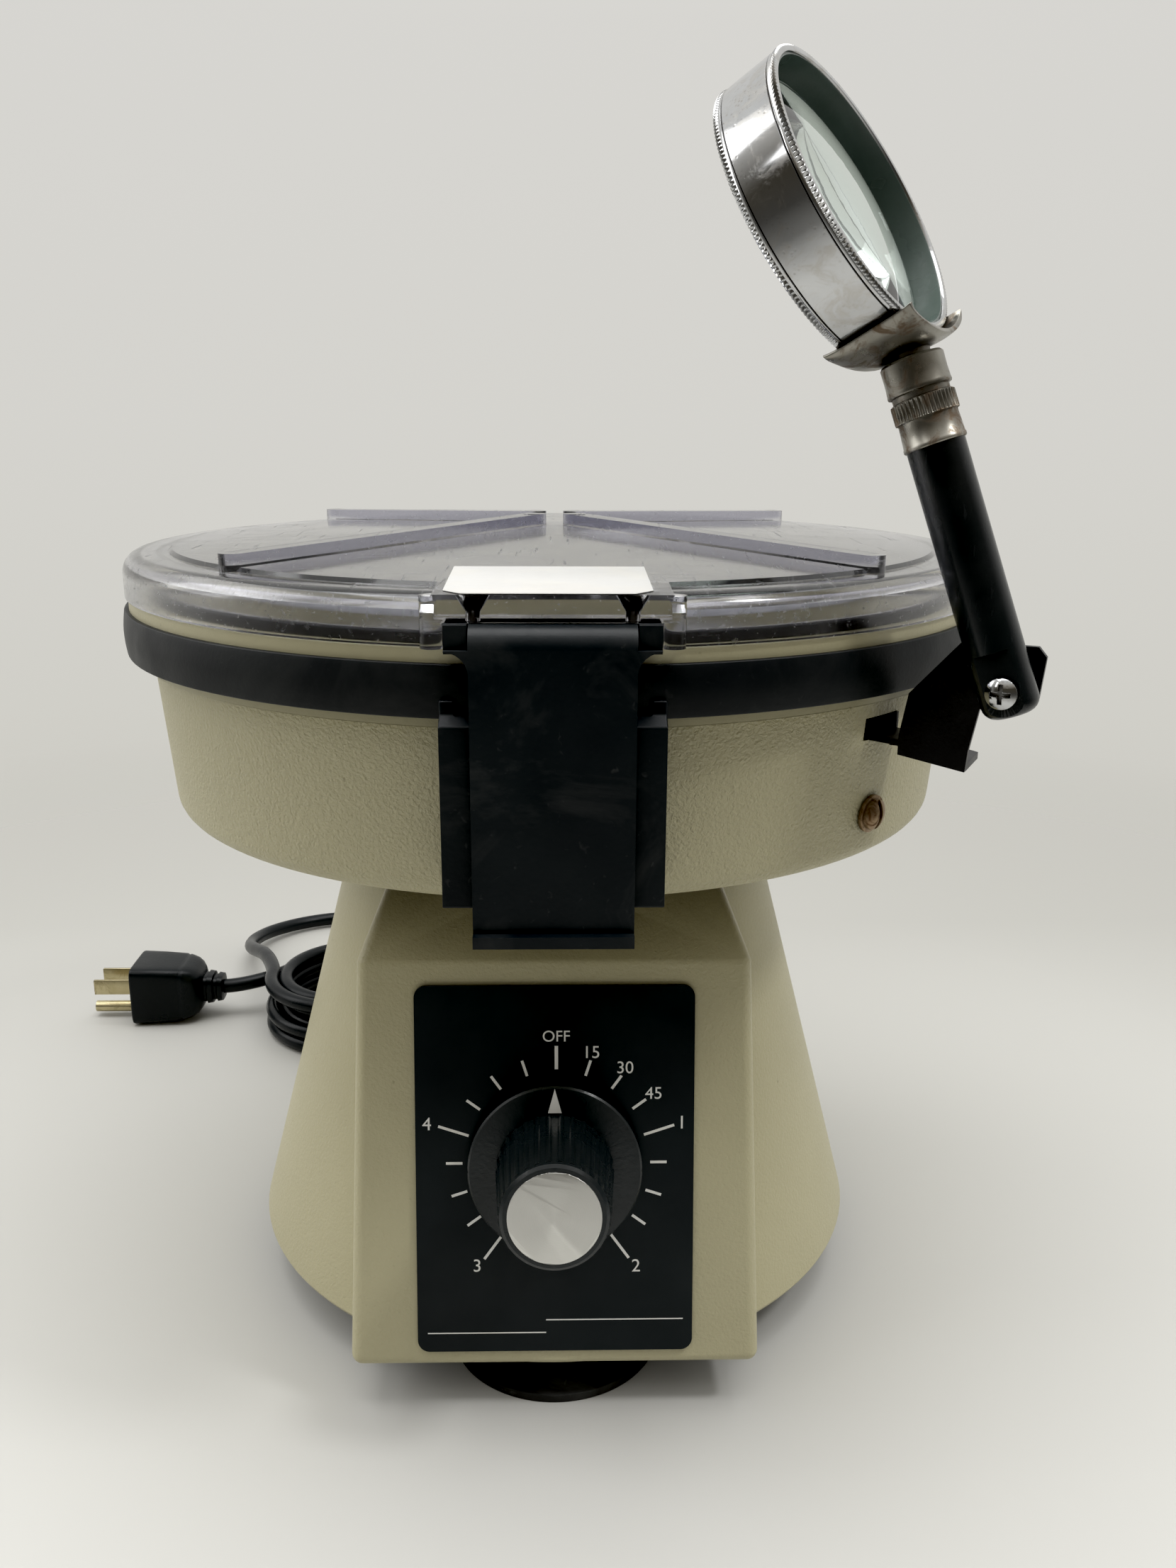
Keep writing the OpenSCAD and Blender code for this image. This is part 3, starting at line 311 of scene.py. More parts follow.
def beige_leather(name, scale, depth):
    """Moulded beige case with an orange-peel leather grain, a little grime and rubbed spots.

    Painted shade darkens the hollow under the bowl, and the grain is coarse on the bowl only.
    """
    m = Nodes(name)
    colour = m.mix(m.ramp(m.noise(9, 5), 0.3, 0.7), (0.45, 0.415, 0.262), (0.51, 0.475, 0.305))
    grime = m.ramp(m.noise(38, 6, 0.7, distortion=1.4), 0.6, 0.86)
    colour = m.mix(m.math("MULTIPLY", grime, 0.12), colour, (0.25, 0.21, 0.13))
    specks = m.ramp(m.noise(300, 2, 0.5), 0.75, 0.8)
    colour = m.mix(m.math("MULTIPLY", specks, 0.3), colour, (0.12, 0.09, 0.05))
    wrinkle = m.noise(scale, 2, 0.5, distortion=0.9)
    peel = m.ramp(m.cells(scale * 0.8, "SMOOTH_F1"), 0.1, 0.8)
    bowl_bottom, bowl_rim = 0.150, 0.1925
    above = m.axes(m.coord)[2]
    # painted shade: where occlusion is high, the case darkens towards (0.05, 0.04, 0.02) from 0.105 m up, at
    # quarter strength on the bowl
    painted_shade_under_bowl = m.hollows(0.05, 0.3, 0.64, 0.9, 0.0)
    painted_shade_under_bowl = m.math("MULTIPLY", painted_shade_under_bowl, m.ramp(above, 0.105, 0.125))
    painted_shade_under_bowl = m.math("MULTIPLY", painted_shade_under_bowl, m.ramp(above, bowl_bottom, bowl_bottom + 0.006, 1.0, 0.25))
    colour = m.mix(painted_shade_under_bowl, colour, (0.05, 0.04, 0.02))
    rougher_bowl = m.ramp(above, bowl_bottom, bowl_bottom + 0.002, 0.35, 1.0)
    smoother_rim = m.ramp(above, bowl_rim, bowl_rim + 0.0007, 1.0, 0.12)
    coarse = m.math("MULTIPLY", rougher_bowl, smoother_rim)
    height = m.math("MULTIPLY", m.math("ADD", m.math("MULTIPLY", peel, 0.5), wrinkle), coarse)
    normal = m.bump(height, depth, 0.8)
    rough = m.ramp(wrinkle, 0.35, 0.65, 0.5, 0.36)
    m.shader(colour, rough, normal=normal, Coat_Weight=0.06, Coat_Roughness=0.3)
    return m.mat


def metal(name, low, high, rough, brush=None, stain=None, stain_amount=0.0, pits=0.0, crevice=0.0):
    """Mottled metal; brush stretches its fine lines, crevice is how far the painted shade in hollows reaches.
    """
    m = Nodes(name)
    colour = m.mix(m.ramp(m.noise(70, 4), 0.3, 0.7), low, high)
    r = m.ramp(m.noise(180, 3), 0.3, 0.7, rough * 0.8, rough * 1.25)
    normal = None
    if brush:
        lines = m.noise(1500, 2, 0.7, stretch=brush)
        r = m.math("ADD", r, m.math("MULTIPLY", lines, 0.08))
        normal = m.bump(lines, 0.00001, 0.5)
    if stain:
        patch = m.ramp(m.noise(150, 6, 0.7, distortion=1.2), 0.5, 0.62)
        patch = m.math("MULTIPLY", patch, stain_amount)
        colour = m.mix(patch, colour, stain)
        r = m.math("ADD", r, m.math("MULTIPLY", patch, 0.35))
    if pits:
        spots = m.ramp(m.cells(900), 0.0, 0.35, 1.0, 0.0)
        where = m.ramp(m.noise(90, 3), 0.5, 0.65)
        spots = m.math("MULTIPLY", spots, where)
        colour = m.mix(m.math("MULTIPLY", spots, 0.5), colour, (0.16, 0.12, 0.08))
        normal = m.bump(m.math("MULTIPLY", spots, -1.0), 0.00005 * pits, 1.0, normal)
    if crevice:
        # painted shade: hollows within crevice are darkened to dark brown and also made rougher
        painted_hollow_shade = m.hollows(crevice, 0.35, 0.75, 0.9, 0.0)
        colour = m.mix(painted_hollow_shade, colour, (0.03, 0.022, 0.015))
        r = m.math("ADD", r, m.math("MULTIPLY", painted_hollow_shade, 0.3))
    m.shader(colour, r, 1.0, normal)
    return m.mat


RINGS_PER_METRE = 9000.0


def spun(name, centre, axis_tilt):
    """Aluminium disc with turned rings about centre, tilted back from level, and an angular sheen."""
    m = Nodes(name)
    flat = m.add("ShaderNodeMapping", vector_type="TEXTURE")
    m.link(m.coord, flat.inputs["Vector"])
    flat.inputs["Location"].default_value = centre
    flat.inputs["Rotation"].default_value = (axis_tilt, 0, 0)
    x, y = m.axes(flat.outputs[0])[:2]
    squares = m.math("ADD", m.math("POWER", x, 2.0), m.math("POWER", y, 2.0))
    wave = m.add("ShaderNodeTexNoise", noise_dimensions="1D")
    m.link(m.math("MULTIPLY", m.math("SQRT", squares), RINGS_PER_METRE), wave.inputs["W"])
    wave.inputs["Scale"].default_value = 1.0
    around = m.add("ShaderNodeCombineXYZ")
    m.link(m.math("MULTIPLY", y, -1.0), around.inputs[0])
    m.link(x, around.inputs[1])
    back = m.add("ShaderNodeMapping", vector_type="VECTOR")
    m.link(around.outputs[0], back.inputs["Vector"])
    back.inputs["Rotation"].default_value = (axis_tilt, 0, 0)
    unit = m.add("ShaderNodeVectorMath", operation="NORMALIZE")
    m.link(back.outputs[0], unit.inputs[0])
    tangent = m.add("ShaderNodeVectorTransform", vector_type="VECTOR", convert_from="OBJECT",
                    convert_to="WORLD")
    m.link(unit.outputs[0], tangent.inputs[0])
    colour = m.mix(wave.outputs["Fac"], (0.66, 0.655, 0.62), (0.78, 0.775, 0.74))
    n = m.shader(colour, 0.43, 1.0, m.bump(wave.outputs["Fac"], 0.00001, 0.4), Anisotropic=0.6)
    m.link(tangent.outputs[0], n.inputs["Tangent"])
    return m.mat


def clear_plastic(name, tint, rough):
    """Clear polycarbonate with fine scratches, a faint haze, and painted shade in the lid's crossed ribs: a
    deeper violet-grey tint, strongest at their edges.
    """
    m = Nodes(name)
    hair = m.ramp(m.noise(700, 3, 0.6, stretch=(1, 0.06, 1), distortion=0.4), 0.63, 0.7)
    hair_across = m.ramp(m.noise(700, 3, 0.6, stretch=(0.06, 1, 1), distortion=0.4), 0.64, 0.7)
    haze = m.ramp(m.noise(26, 5, 0.6, distortion=0.8), 0.45, 0.75)
    marks = m.math("ADD", m.math("ADD", hair, hair_across), m.math("MULTIPLY", haze, 0.5), clamp=True)
    x, y, z = m.axes(m.coord)
    across = m.math("ABSOLUTE", m.math("SUBTRACT", m.math("ABSOLUTE", x), m.math("ABSOLUTE", y)))
    # painted shade: the ribs above the lid's top face are tinted violet-grey, most along their edges
    edge = m.ramp(across, 0.0022, 0.0036, 0.35, 1.0)
    painted_rib_shade = m.math("MULTIPLY", edge, m.ramp(across, 0.0048, 0.0052, 1.0, 0.0))
    painted_rib_shade = m.math("MULTIPLY", painted_rib_shade, m.ramp(z, 0.2232, 0.2245))
    tint = m.mix(painted_rib_shade, tint, (0.50, 0.50, 0.58))
    r = m.math("ADD", m.math("MULTIPLY", marks, 0.2), rough)
    m.shader(tint, r, Transmission_Weight=1.0, IOR=1.49)
    return m.mat


def lens_glass():
    """Faintly green glass with a few smears."""
    m = Nodes("lens_glass")
    smear = m.ramp(m.noise(60, 4, 0.6, distortion=1.0), 0.5, 0.75, 0.0, 0.03)
    m.shader((0.74, 0.83, 0.785), smear, Transmission_Weight=1.0, IOR=1.52)
    return m.mat


def label_paper(name, base):
    """White print or paper, yellowed in patches."""
    m = Nodes(name)
    age = m.ramp(m.noise(45, 5, 0.6), 0.45, 0.8)
    colour = m.mix(m.math("MULTIPLY", age, 0.35), base, (0.70, 0.64, 0.50))
    rough = m.ramp(m.noise(200, 2), 0.3, 0.7, 0.3, 0.42)
    m.shader(colour, rough, normal=m.bump(m.noise(500, 2), 0.00002, 0.5))
    return m.mat


def winding(name):
    """Varnished copper wire, seen as fine slanted bands."""
    m = Nodes(name)
    wires = m.add("ShaderNodeTexWave", wave_type="BANDS", bands_direction="DIAGONAL")
    m.link(m.coord, wires.inputs["Vector"])
    wires.inputs["Scale"].default_value = 320
    wires.inputs["Distortion"].default_value = 1.5
    colour = m.mix(wires.outputs["Fac"], (0.20, 0.07, 0.02), (0.62, 0.27, 0.10))
    m.shader(colour, 0.35, 0.6, m.bump(wires.outputs["Fac"], 0.0003, 0.8), Coat_Weight=0.5)
    return m.mat


# ---------- mesh helpers ----------

def add_mesh(name, bm, smooth=True):
    """Turns a bmesh into an object in the scene."""
    bmesh.ops.recalc_face_normals(bm, faces=bm.faces)
    mesh = bpy.data.meshes.new(name)
    bm.to_mesh(mesh)
    bm.free()
    if smooth:
        for p in mesh.polygons:
            p.use_smooth = True
    o = bpy.data.objects.new(name, mesh)
    bpy.context.scene.collection.objects.link(o)
    return o


WELD_WITHIN = 0.00001
EDGE_RADIUS = 0.0003
ROUND_OVER = math.radians(32)


def finish_edges(o, width):
    """Merges split corners, rounds every edge a little and keeps flat faces flat."""
    weld = o.modifiers.new("weld", "WELD")
    weld.merge_threshold = WELD_WITHIN
    if width:
        bevel = o.modifiers.new("bevel", "BEVEL")
        bevel.width = width
        bevel.segments = 2
        bevel.limit_method = "ANGLE"
        bevel.angle_limit = ROUND_OVER
        bevel.harden_normals = True
        bevel.use_clamp_overlap = True
    normals = o.modifiers.new("normals", "WEIGHTED_NORMAL")
    normals.keep_sharp = True
    normals.weight = 100
    for p in o.data.polygons:
        p.use_smooth = True


def catmull(points, steps):
    """A Catmull-Rom curve through the points, with that many steps between each pair."""
    out = []
    n = len(points)
    for i in range(n - 1):
        a, b, c, d = (Vector(points[min(max(k, 0), n - 1)]) for k in (i - 1, i, i + 1, i + 2))
        for k in range(steps):
            t = k / steps
            out.append(0.5 * (2 * b + (c - a) * t + (2 * a - 5 * b + 4 * c - d) * t * t
                              + (3 * b - a - 3 * c + d) * t * t * t))
    out.append(Vector(points[-1]))
    return out


# ---------- places on the machine, in millimetres as in part.scad ----------

def turn(axis, degrees):
    return Matrix.Rotation(math.radians(degrees), 4, axis)


def shift(x, y, z):
    return Matrix.Translation((x, y, z))


PANEL = shift(0, -94, 12) @ turn("X", 80.4)
DIAL = PANEL @ shift(0, 57.8, 0)
PRINT_OFFSET = shift(0.4, 0.8, 0)
HANDLE = shift(99.6, -107.3, 200.3) @ turn("Z", -28.6) @ turn("Y", -20.5)
HEAD = HANDLE @ turn("Z", -4.2) @ shift(0, 0, 74.3) @ turn("Y", -9.3)
LENS = HEAD @ shift(0, 0, 35.9) @ turn("Y", 90) @ shift(0, 0, -0.8)


def place(bm, matrix):
    """Puts a bmesh made in millimetres where the matrix says, in metres."""
    bmesh.ops.transform(bm, matrix=Matrix.Scale(MM, 4) @ matrix, verts=bm.verts)


def lathe(bm, profile, sides, closed=False, wave=None):
    """Turns (radius, height) points about Z; wave(k, angle) adds to the radius of point k."""
    rings = []
    for i in range(sides):
        a = 2 * math.pi * i / sides
        row = []
        for k, (r, z) in enumerate(profile):
            q = r + (wave(k, a) if wave else 0.0)
            row.append(bm.verts.new((q * math.cos(a), q * math.sin(a), z)))
        rings.append(row)
    last = len(profile) if closed else len(profile) - 1
    for i in range(sides):
        a, b = rings[i], rings[(i + 1) % sides]
        for k in range(last):
            j = (k + 1) % len(profile)
            bm.faces.new((a[k], b[k], b[j], a[j]))
    bmesh.ops.remove_doubles(bm, verts=bm.verts, dist=0.0001)


def slab(bm, x0, y0, x1, y1, z0, z1):
    """A box."""
    v = [bm.verts.new((x, y, z)) for z in (z0, z1) for x, y in ((x0, y0), (x1, y0), (x1, y1), (x0, y1))]
    for f in ((3, 2, 1, 0), (4, 5, 6, 7), (0, 1, 5, 4), (1, 2, 6, 5), (2, 3, 7, 6), (3, 0, 4, 7)):
        bm.faces.new([v[i] for i in f])


def dress(o, slot, body, *nodes, look=None):
    """Gives an added piece the material of look, or of its slot when there is no look, puts it on its body
    and hides the CAD nodes that it stands for.
    """
    o.data.materials.append(MATERIALS[look or slot])
    if nodes:
        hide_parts(*nodes)
    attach(o, body)


def sharp(o, angle):
    """Keeps edges over that many degrees crisp."""
    m = o.modifiers.new("split", "EDGE_SPLIT")
    m.split_angle = math.radians(angle)


# ---------- timer dial's print ----------

def glyphs(text, height, x, y):
    """Vertices and faces of a short number, centred on (x, y)."""
    curve = bpy.data.curves.new("glyph", "FONT")
    curve.body = text
    curve.size = 10
    o = bpy.data.objects.new("glyph", curve)
    bpy.context.scene.collection.objects.link(o)
    mesh = bpy.data.meshes.new_from_object(o.evaluated_get(bpy.context.evaluated_depsgraph_get()))
    xs, ys = [v.co.x for v in mesh.vertices], [v.co.y for v in mesh.vertices]
    k = height / (max(ys) - min(ys))
    cx, cy = (max(xs) + min(xs)) / 2, (max(ys) + min(ys)) / 2
    verts = [(x + (v.co.x - cx) * k, y + (v.co.y - cy) * k) for v in mesh.vertices]
    faces = [tuple(p.vertices) for p in mesh.polygons]
    bpy.data.objects.remove(o)
    bpy.data.curves.remove(curve)
    bpy.data.meshes.remove(mesh)
    return verts, faces


SHORT_TICKS = (18, 36, 54, 90, 108, 126, 234, 252, 270, 306, 324, 342)
LONG_TICKS = (72, 144, 216, 288)
DIAL_TEXT = (("OFF", 2.9, 0, 33.9), ("15", 3.2, 9.4, 29.6), ("30", 3.2, 17.9, 25.5),
             ("45", 3.2, 25.2, 18.6), ("1", 3.4, 32.7, 10.7), ("4", 3.4, -33.7, 10.7),
             ("2", 3.4, 20.9, -28.2), ("3", 3.4, -20.9, -27.9))


def make_print():
    """The timer's ticks, numbers and two rules, a hair above the plate's face."""
    bm = bmesh.new()
    low, top = 1.0, 1.06
    for deg in SHORT_TICKS + LONG_TICKS:
        start = len(bm.verts)
        inner, outer = (24.5, 28.8) if deg in SHORT_TICKS else (24.0, 32.3)
        slab(bm, -0.35, inner, 0.35, outer, low, top)
        bm.verts.ensure_lookup_table()
        bmesh.ops.rotate(bm, verts=bm.verts[start:], cent=(0, 0, 0), matrix=turn("Z", -deg).to_3x3())
    slab(bm, -0.45, 25.1, 0.45, 31.3, low, top)
    slab(bm, -2.8, -43.2, 33.4, -42.9, low, top)
    slab(bm, -34.0, -46.7, -2.8, -46.4, low, top)
    for text, height, x, y in DIAL_TEXT:
        verts, faces = glyphs(text, height, x, y)
        made = [bm.verts.new((a, b, top)) for a, b in verts]
        for f in faces:
            bm.faces.new([made[i] for i in f])
    place(bm, DIAL @ PRINT_OFFSET)
    o = add_mesh("dial_print", bm, smooth=False)
    dress(o, "pointer_white", "housing")


# ---------- magnifier ----------

RING_TEETH = 190
FERRULE_TEETH = 42
CLIP_SHEET = 0.0011


def make_lens_ring():
    """Chromed ring with a knurled bead at each edge, and the dark sleeve inside it."""
    outer = [(32.3, 7.7), (32.95, 7.62), (33.15, 7.3), (33.15, 6.75), (32.8, 6.45),
             (32.95, 6.25), (32.95, 5.8), (32.6, 5.6), (32.95, 5.4), (33.0, 3.0)]
    profile = outer + [(r, -z) for r, z in reversed(outer)] + [
        (31.5, -7.6), (31.3, -7.2), (31.3, 0.0), (31.3, 7.2), (31.5, 7.6)]
    knurled = {1, 2, 3, len(outer) * 2 - 2, len(outer) * 2 - 3, len(outer) * 2 - 4}
    bm = bmesh.new()
    lathe(bm, profile, 4 * RING_TEETH, True,
          lambda k, a: 0.22 * (math.cos(RING_TEETH * a) - 1) if k in knurled else 0.0)
    place(bm, LENS)
    o = add_mesh("lens_ring_turned", bm)
    sharp(o, 40)
    dress(o, "bright_chrome", "lens_head", "lens_ring")
    bm = bmesh.new()
    lathe(bm, [(31.28, -7.1), (31.28, 7.1), (31.0, 7.1), (30.9, 6.6), (31.05, 2.4), (31.05, -2.4),
               (30.9, -6.6), (31.0, -7.1)], 192, True)
    place(bm, LENS)
    sleeve = add_mesh("lens_sleeve", bm)
    sharp(sleeve, 40)
    dress(sleeve, "handle_black", "lens_head", look="sleeve_black")


def make_ferrule():
    """Tarnished collar at the handle's top, with a knurled band."""
    profile = [(3.1, 55.2), (6.6, 55.2), (6.85, 55.45), (6.85, 56.1), (6.7, 56.3), (6.45, 60.9), (6.5, 61.3),
               (6.95, 61.5), (7.0, 61.8), (7.0, 65.1), (6.95, 65.5), (6.5, 65.8), (3.1, 65.8)]
    bm = bmesh.new()
    lathe(bm, profile, 8 * FERRULE_TEETH, False,
          lambda k, a: 0.2 * (math.cos(FERRULE_TEETH * a) - 1) if k in (8, 9) else 0.0)
    place(bm, HANDLE)
    o = add_mesh("ferrule_turned", bm)
    sharp(o, 40)
    dress(o, "tarnished_nickel", "magnifier_arm", "ferrule")


def make_stem():
    """Socket under the lens ring and the bent sheet clip that cradles the ring.

    On the clip, s runs along the ring's axis and t around the ring, both from -1 to 1.
    """
    bm = bmesh.new()
    lathe(bm, [(0.0, 65.9), (6.2, 65.9), (6.25, 67.0), (6.9, 67.25), (7.0, 67.6), (6.9, 68.1), (6.8, 70.5),
               (6.85, 73.7), (6.4, 74.25), (4.4, 74.6), (4.4, 76.0), (0.0, 76.0)], 96)
    lathe(bm, [(0.0, 49.3), (3.0, 49.3), (3.0, 66.0), (0.0, 66.0)], 48)
    place(bm, HANDLE)
    clip = bmesh.new()
    rows, cols = 21, 41
    grid = []
    for i in range(rows):
        s = 2 * i / (rows - 1) - 1
        end = abs(s) ** 5
        curl = (1.9 if s < 0 else 1.0) * end
        row = []
        for j in range(cols):
            t = 2 * j / (cols - 1) - 1
            a = math.radians(84 * t)
            half = 16.6 + 0.9 * end
            y = half * math.sin(a)
            x = 28.7 + (5.6 + 0.9 * s - curl + 0.4 * end * math.cos(3 * a)) * math.cos(a)
            z = (9.9 + 0.5 * abs(t) ** 4) * s
            row.append(clip.verts.new((x, y, z)))
        grid.append(row)
    for i in range(rows - 1):
        for j in range(cols - 1):
            clip.faces.new((grid[i][j], grid[i + 1][j], grid[i + 1][j + 1], grid[i][j + 1]))
    place(clip, LENS)
    sheet = add_mesh("lens_clip", clip)
    thick = sheet.modifiers.new("thick", "SOLIDIFY")
    thick.thickness = CLIP_SHEET
    thick.offset = 0.0
    rounded = sheet.modifiers.new("round", "BEVEL")
    rounded.width = EDGE_RADIUS
    rounded.segments = 2
    rounded.limit_method = "ANGLE"
    dress(sheet, "tarnished_nickel", "lens_head")
    o = add_mesh("lens_socket", bm)
    sharp(o, 40)
    dress(o, "tarnished_nickel", "lens_head", "lens_stem")


# ---------- mains plug ----------

def make_plug():
    """Moulded body with a tapered back, grip steps and a flat face for the blades."""
    # place along the plug, half width, half height and how square the outline is
    stations = [(-3.0, 4.2, 4.2, 2.4), (-2.6, 5.6, 5.4, 3.0), (-0.6, 5.9, 5.7, 3.2), (-0.2, 5.2, 5.0, 3.2),
                (1.0, 5.3, 5.1, 3.2), (1.4, 6.3, 6.1, 3.4), (3.6, 6.6, 6.4, 3.6), (4.0, 5.8, 5.6, 3.6),
                (5.2, 6.0, 5.8, 3.6), (6.2, 8.2, 8.2, 3.8), (7.6, 9.9, 10.0, 4.2), (9.6, 11.2, 11.1, 4.8),
                (12.0, 11.9, 11.7, 5.4), (13.2, 12.1, 12.0, 6.0), (14.0, 11.8, 11.7, 6.4),
                (15.0, 12.2, 12.1, 7.0), (24.0, 12.7, 12.6, 8.0), (34.0, 13.0, 13.0, 8.5),
                (34.7, 12.8, 12.8, 8.5), (35.0, 12.3, 12.3, 8.0)]
    bm = bmesh.new()
    sides = 72
    rows = []
    for z, a, b, n in stations:
        row = []
        for i in range(sides):
            t = 2 * math.pi * i / sides
            c, s = math.cos(t), math.sin(t)
            x = a * math.copysign(abs(c) ** (2 / n), c)
            y = b * math.copysign(abs(s) ** (2 / n), s)
            row.append(bm.verts.new((x, y, z)))
        rows.append(row)
    for a, b in zip(rows, rows[1:]):
        for i in range(sides):
            j = (i + 1) % sides
            bm.faces.new((a[i], a[j], b[j], b[i]))
    bm.faces.new(list(reversed(rows[0])))
    bm.faces.new(rows[-1])
    place(bm, shift(-150, 152, 13.5) @ turn("Y", -90))
    o = add_mesh("plug_body", bm)
    sharp(o, 50)
    dress(o, "cord_pvc", "housing", "plug")
    return o


# ---------- cord ----------

CORD_R = 3.1
COIL = (-88.0, 146.0)
COIL_TURNS = 7
ROUTE = [(0, 122, 24), (0, 134, 22), (-2, 150, 15), (-6, 166, 8), (-12, 184, 4.5), (-22, 204, 4),
         (-36, 224, 4), (-54, 242, 4), (-76, 255, 4), (-98, 260, 4), (-120, 257, 4), (-138, 246, 4.5),
         (-148, 230, 6), (-149, 212, 9), (-144, 194, 14), (-135, 176, 19.5), (-127, 160, 22.2)]
LEAD = [(-118, 167, 16), (-122.4, 161.6, 15.8), (-128.6, 156.6, 15.4), (-136.4, 153.3, 14.6),
        (-144, 152, 13.8), (-150, 152, 13.5)]


def coil_points():
    """The coil's turns, on a grid of two radii and four heights.

    Once a turn, over reach degrees to each side, the cord eases from its slot to the next.
    """
    outer, inner = 36.1, 29.9
    slots = [(outer, 22.2), (inner, 22.2), (inner, 16), (inner, 9.8), (inner, 3.6), (outer, 3.6),
             (outer, 9.8), (outer, 16)]
    start, end = 175.0, 145.0 + 360 * COIL_TURNS
    turns = [205 + 360 * k for k in range(COIL_TURNS)]
    points = []
    phi, step, reach = 0.0, 12.0, 50.0
    while start + phi < end - 6:
        k = sum(1 for t in turns if phi >= t)
        near = min(turns, key=lambda t: abs(phi - t))
        r, z = slots[k]
        if abs(phi - near) < reach:
            j = turns.index(near)
            s = (phi - near + reach) / (2 * reach)
            s = s * s * (3 - 2 * s)
            r = slots[j][0] * (1 - s) + slots[j + 1][0] * s
            z = slots[j][1] * (1 - s) + slots[j + 1][1] * s
        a = math.radians(start + phi)
        points.append((COIL[0] + r * math.cos(a), COIL[1] + r * math.sin(a), z))
        phi += step
    return points


def make_cord(plug):
    """The mains cord from its exit at the back, through its coil, to the plug."""
    points = catmull(ROUTE, 2)[:-1] + [Vector(p) for p in coil_points()] + catmull(LEAD, 2)
    curve = bpy.data.curves.new("mains_cord", "CURVE")
    curve.dimensions = "3D"
    curve.bevel_depth = CORD_R * MM
    curve.bevel_resolution = 5
    curve.resolution_u = 3
    curve.use_fill_caps = True
    spline = curve.splines.new("NURBS")
    spline.points.add(len(points) - 1)
    for p, q in zip(spline.points, points):
        p.co = (q[0] * MM, q[1] * MM, q[2] * MM, 1)
    spline.order_u = 4
    spline.use_endpoint_u = True
    cord = bpy.data.objects.new("mains_cord", curve)
    bpy.context.scene.collection.objects.link(cord)
    cord.data.materials.append(MATERIALS["cord_pvc"])
    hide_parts("power_cord", "cord_coil")
    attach(cord, "housing")


# ---------- build ----------

make_camera()

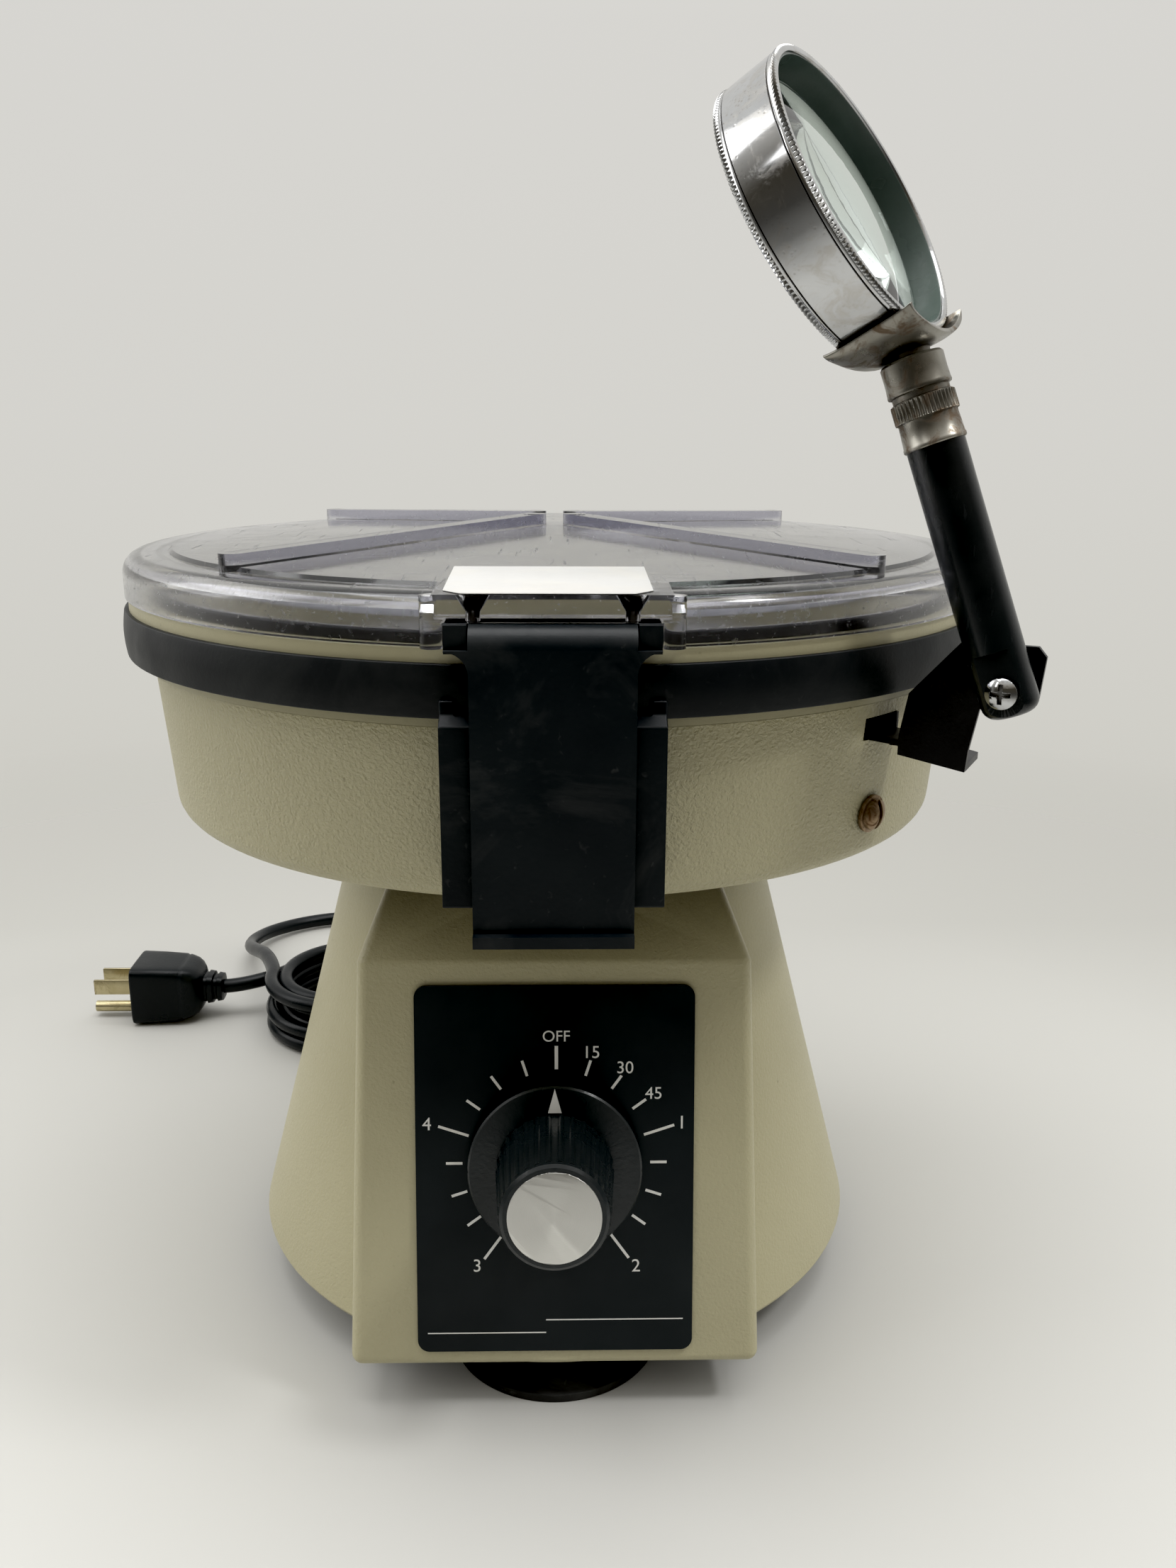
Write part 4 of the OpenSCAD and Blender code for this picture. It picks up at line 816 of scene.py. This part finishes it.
MATERIALS = {
    "beige_plastic": beige_leather("beige_plastic", 1350, 0.00052),
    "black_plastic": moulded("black_plastic", (0.004, 0.006, 0.008), (0.009, 0.012, 0.014), 0.42, dust=0.13),
    "bumper_rubber": moulded("bumper_rubber", (0.006, 0.0075, 0.009), (0.012, 0.014, 0.015), 0.46, dust=0.05),
    "foot_rubber": moulded("foot_rubber", (0.012, 0.012, 0.012), (0.022, 0.022, 0.021), 0.62, dust=0.2),
    "gasket_rubber": moulded("gasket_rubber", (0.02, 0.02, 0.02), (0.03, 0.03, 0.03), 0.7, dust=0.1),
    "clear_plastic": clear_plastic("clear_plastic", (0.90, 0.90, 0.935), 0.09),
    "label_white": label_paper("label_white", (0.57, 0.565, 0.55)),
    "panel_black": moulded("panel_black", (0.005, 0.008, 0.010), (0.008, 0.012, 0.014), 0.4, grain=2500,
                           depth=0.00002),
    "knob_black": moulded("knob_black", (0.009, 0.012, 0.013), (0.016, 0.020, 0.022), 0.27, dust=0.04,
                          spec=0.42),
    "pointer_white": label_paper("pointer_white", (0.82, 0.82, 0.79)),
    "spun_aluminium": spun("spun_aluminium", (0, -0.08436, 0.06899), math.radians(90 - 9.6)),
    "rotor_aluminium": metal("rotor_aluminium", (0.36, 0.365, 0.37), (0.46, 0.465, 0.47), 0.52, (1, 1, 12)),
    "zinc_steel": metal("zinc_steel", (0.42, 0.42, 0.41), (0.58, 0.58, 0.57), 0.35, stain=(0.2, 0.17, 0.12),
                        stain_amount=0.3),
    "ground_steel": metal("ground_steel", (0.5, 0.51, 0.52), (0.64, 0.65, 0.66), 0.24, (1, 1, 20)),
    "rusty_screw": metal("rusty_screw", (0.20, 0.13, 0.07), (0.34, 0.26, 0.17), 0.42,
                         stain=(0.10, 0.045, 0.02), stain_amount=0.8, pits=1.5, crevice=0.0015),
    "sheet_steel": moulded("sheet_steel", (0.24, 0.25, 0.26), (0.30, 0.31, 0.32), 0.4, dust=0.05),
    "bracket_paint": moulded("bracket_paint", (0.004, 0.004, 0.005), (0.009, 0.009, 0.010), 0.34, grain=1400,
                             depth=0.00004, dust=0.05),
    "timer_case": metal("timer_case", (0.46, 0.40, 0.24), (0.58, 0.52, 0.34), 0.38, (1, 1, 8)),
    "lamination": metal("lamination", (0.2, 0.2, 0.21), (0.3, 0.3, 0.31), 0.5, (1, 1, 40)),
    "copper_winding": winding("copper_winding"),
    "carbon": moulded("carbon", (0.03, 0.03, 0.033), (0.05, 0.05, 0.055), 0.5),
    "bakelite": moulded("bakelite", (0.09, 0.035, 0.015), (0.14, 0.06, 0.03), 0.3),
    "fan_plastic": moulded("fan_plastic", (0.03, 0.03, 0.033), (0.05, 0.05, 0.052), 0.5, dust=0.2),
    "handle_black": moulded("handle_black", (0.005, 0.006, 0.007), (0.009, 0.011, 0.012), 0.22, grain=1500,
                            depth=0.00002, dust=0.02, spec=0.45, streak=(1, 1, 0.04)),
    "tarnished_nickel": metal("tarnished_nickel", (0.20, 0.19, 0.165), (0.36, 0.345, 0.305), 0.3,
                              stain=(0.13, 0.085, 0.05), stain_amount=0.75, pits=1.0, crevice=0.0015),
    "bright_chrome": metal("bright_chrome", (0.44, 0.445, 0.45), (0.56, 0.565, 0.57), 0.09,
                           stain=(0.4, 0.37, 0.32), stain_amount=0.4, pits=0.4, crevice=0.0012),
    "sleeve_black": moulded("sleeve_black", (0.07, 0.095, 0.085), (0.11, 0.14, 0.125), 0.24, dust=0.1,
                            spec=0.5),
    "lens_glass": lens_glass(),
    "cord_pvc": moulded("cord_pvc", (0.003, 0.004, 0.005), (0.006, 0.008, 0.009), 0.3, dust=0.02, spec=0.2),
    "blade_brass": metal("blade_brass", (0.42, 0.36, 0.2), (0.6, 0.53, 0.33), 0.3, stain=(0.2, 0.15, 0.08),
                         stain_amount=0.4),
}

for row in frame["record"]["subparts"]:
    o = frame["nodes"][row["node"]]
    o.data.materials.clear()
    o.data.materials.append(MATERIALS[row["material_slot"]])

# nodes too fine to round, and those that need more than EDGE_RADIUS
FINE = {"lens_ring", "magnifier_lens", "bearings", "motor_shaft", "knob_pointer", "lid_label", "timer_nut",
        "plug_blades", "knob_cap", "hinge_pin"}
ROUND = {"base_shell": 0.0004, "lid_shell": 0.0007, "latch_strap": 0.0006, "latch_guide": 0.0006,
         "latch_block": 0.0009, "hinge_leaf": 0.0006, "hinge_bracket": 0.0006, "magnifier_handle": 0.0006}
for name, o in frame["nodes"].items():
    if name != "bowl":
        finish_edges(o, 0.0 if name in FINE else ROUND.get(name, EDGE_RADIUS))

make_room()
make_print()
make_lens_ring()
make_ferrule()
make_stem()
make_cord(make_plug())
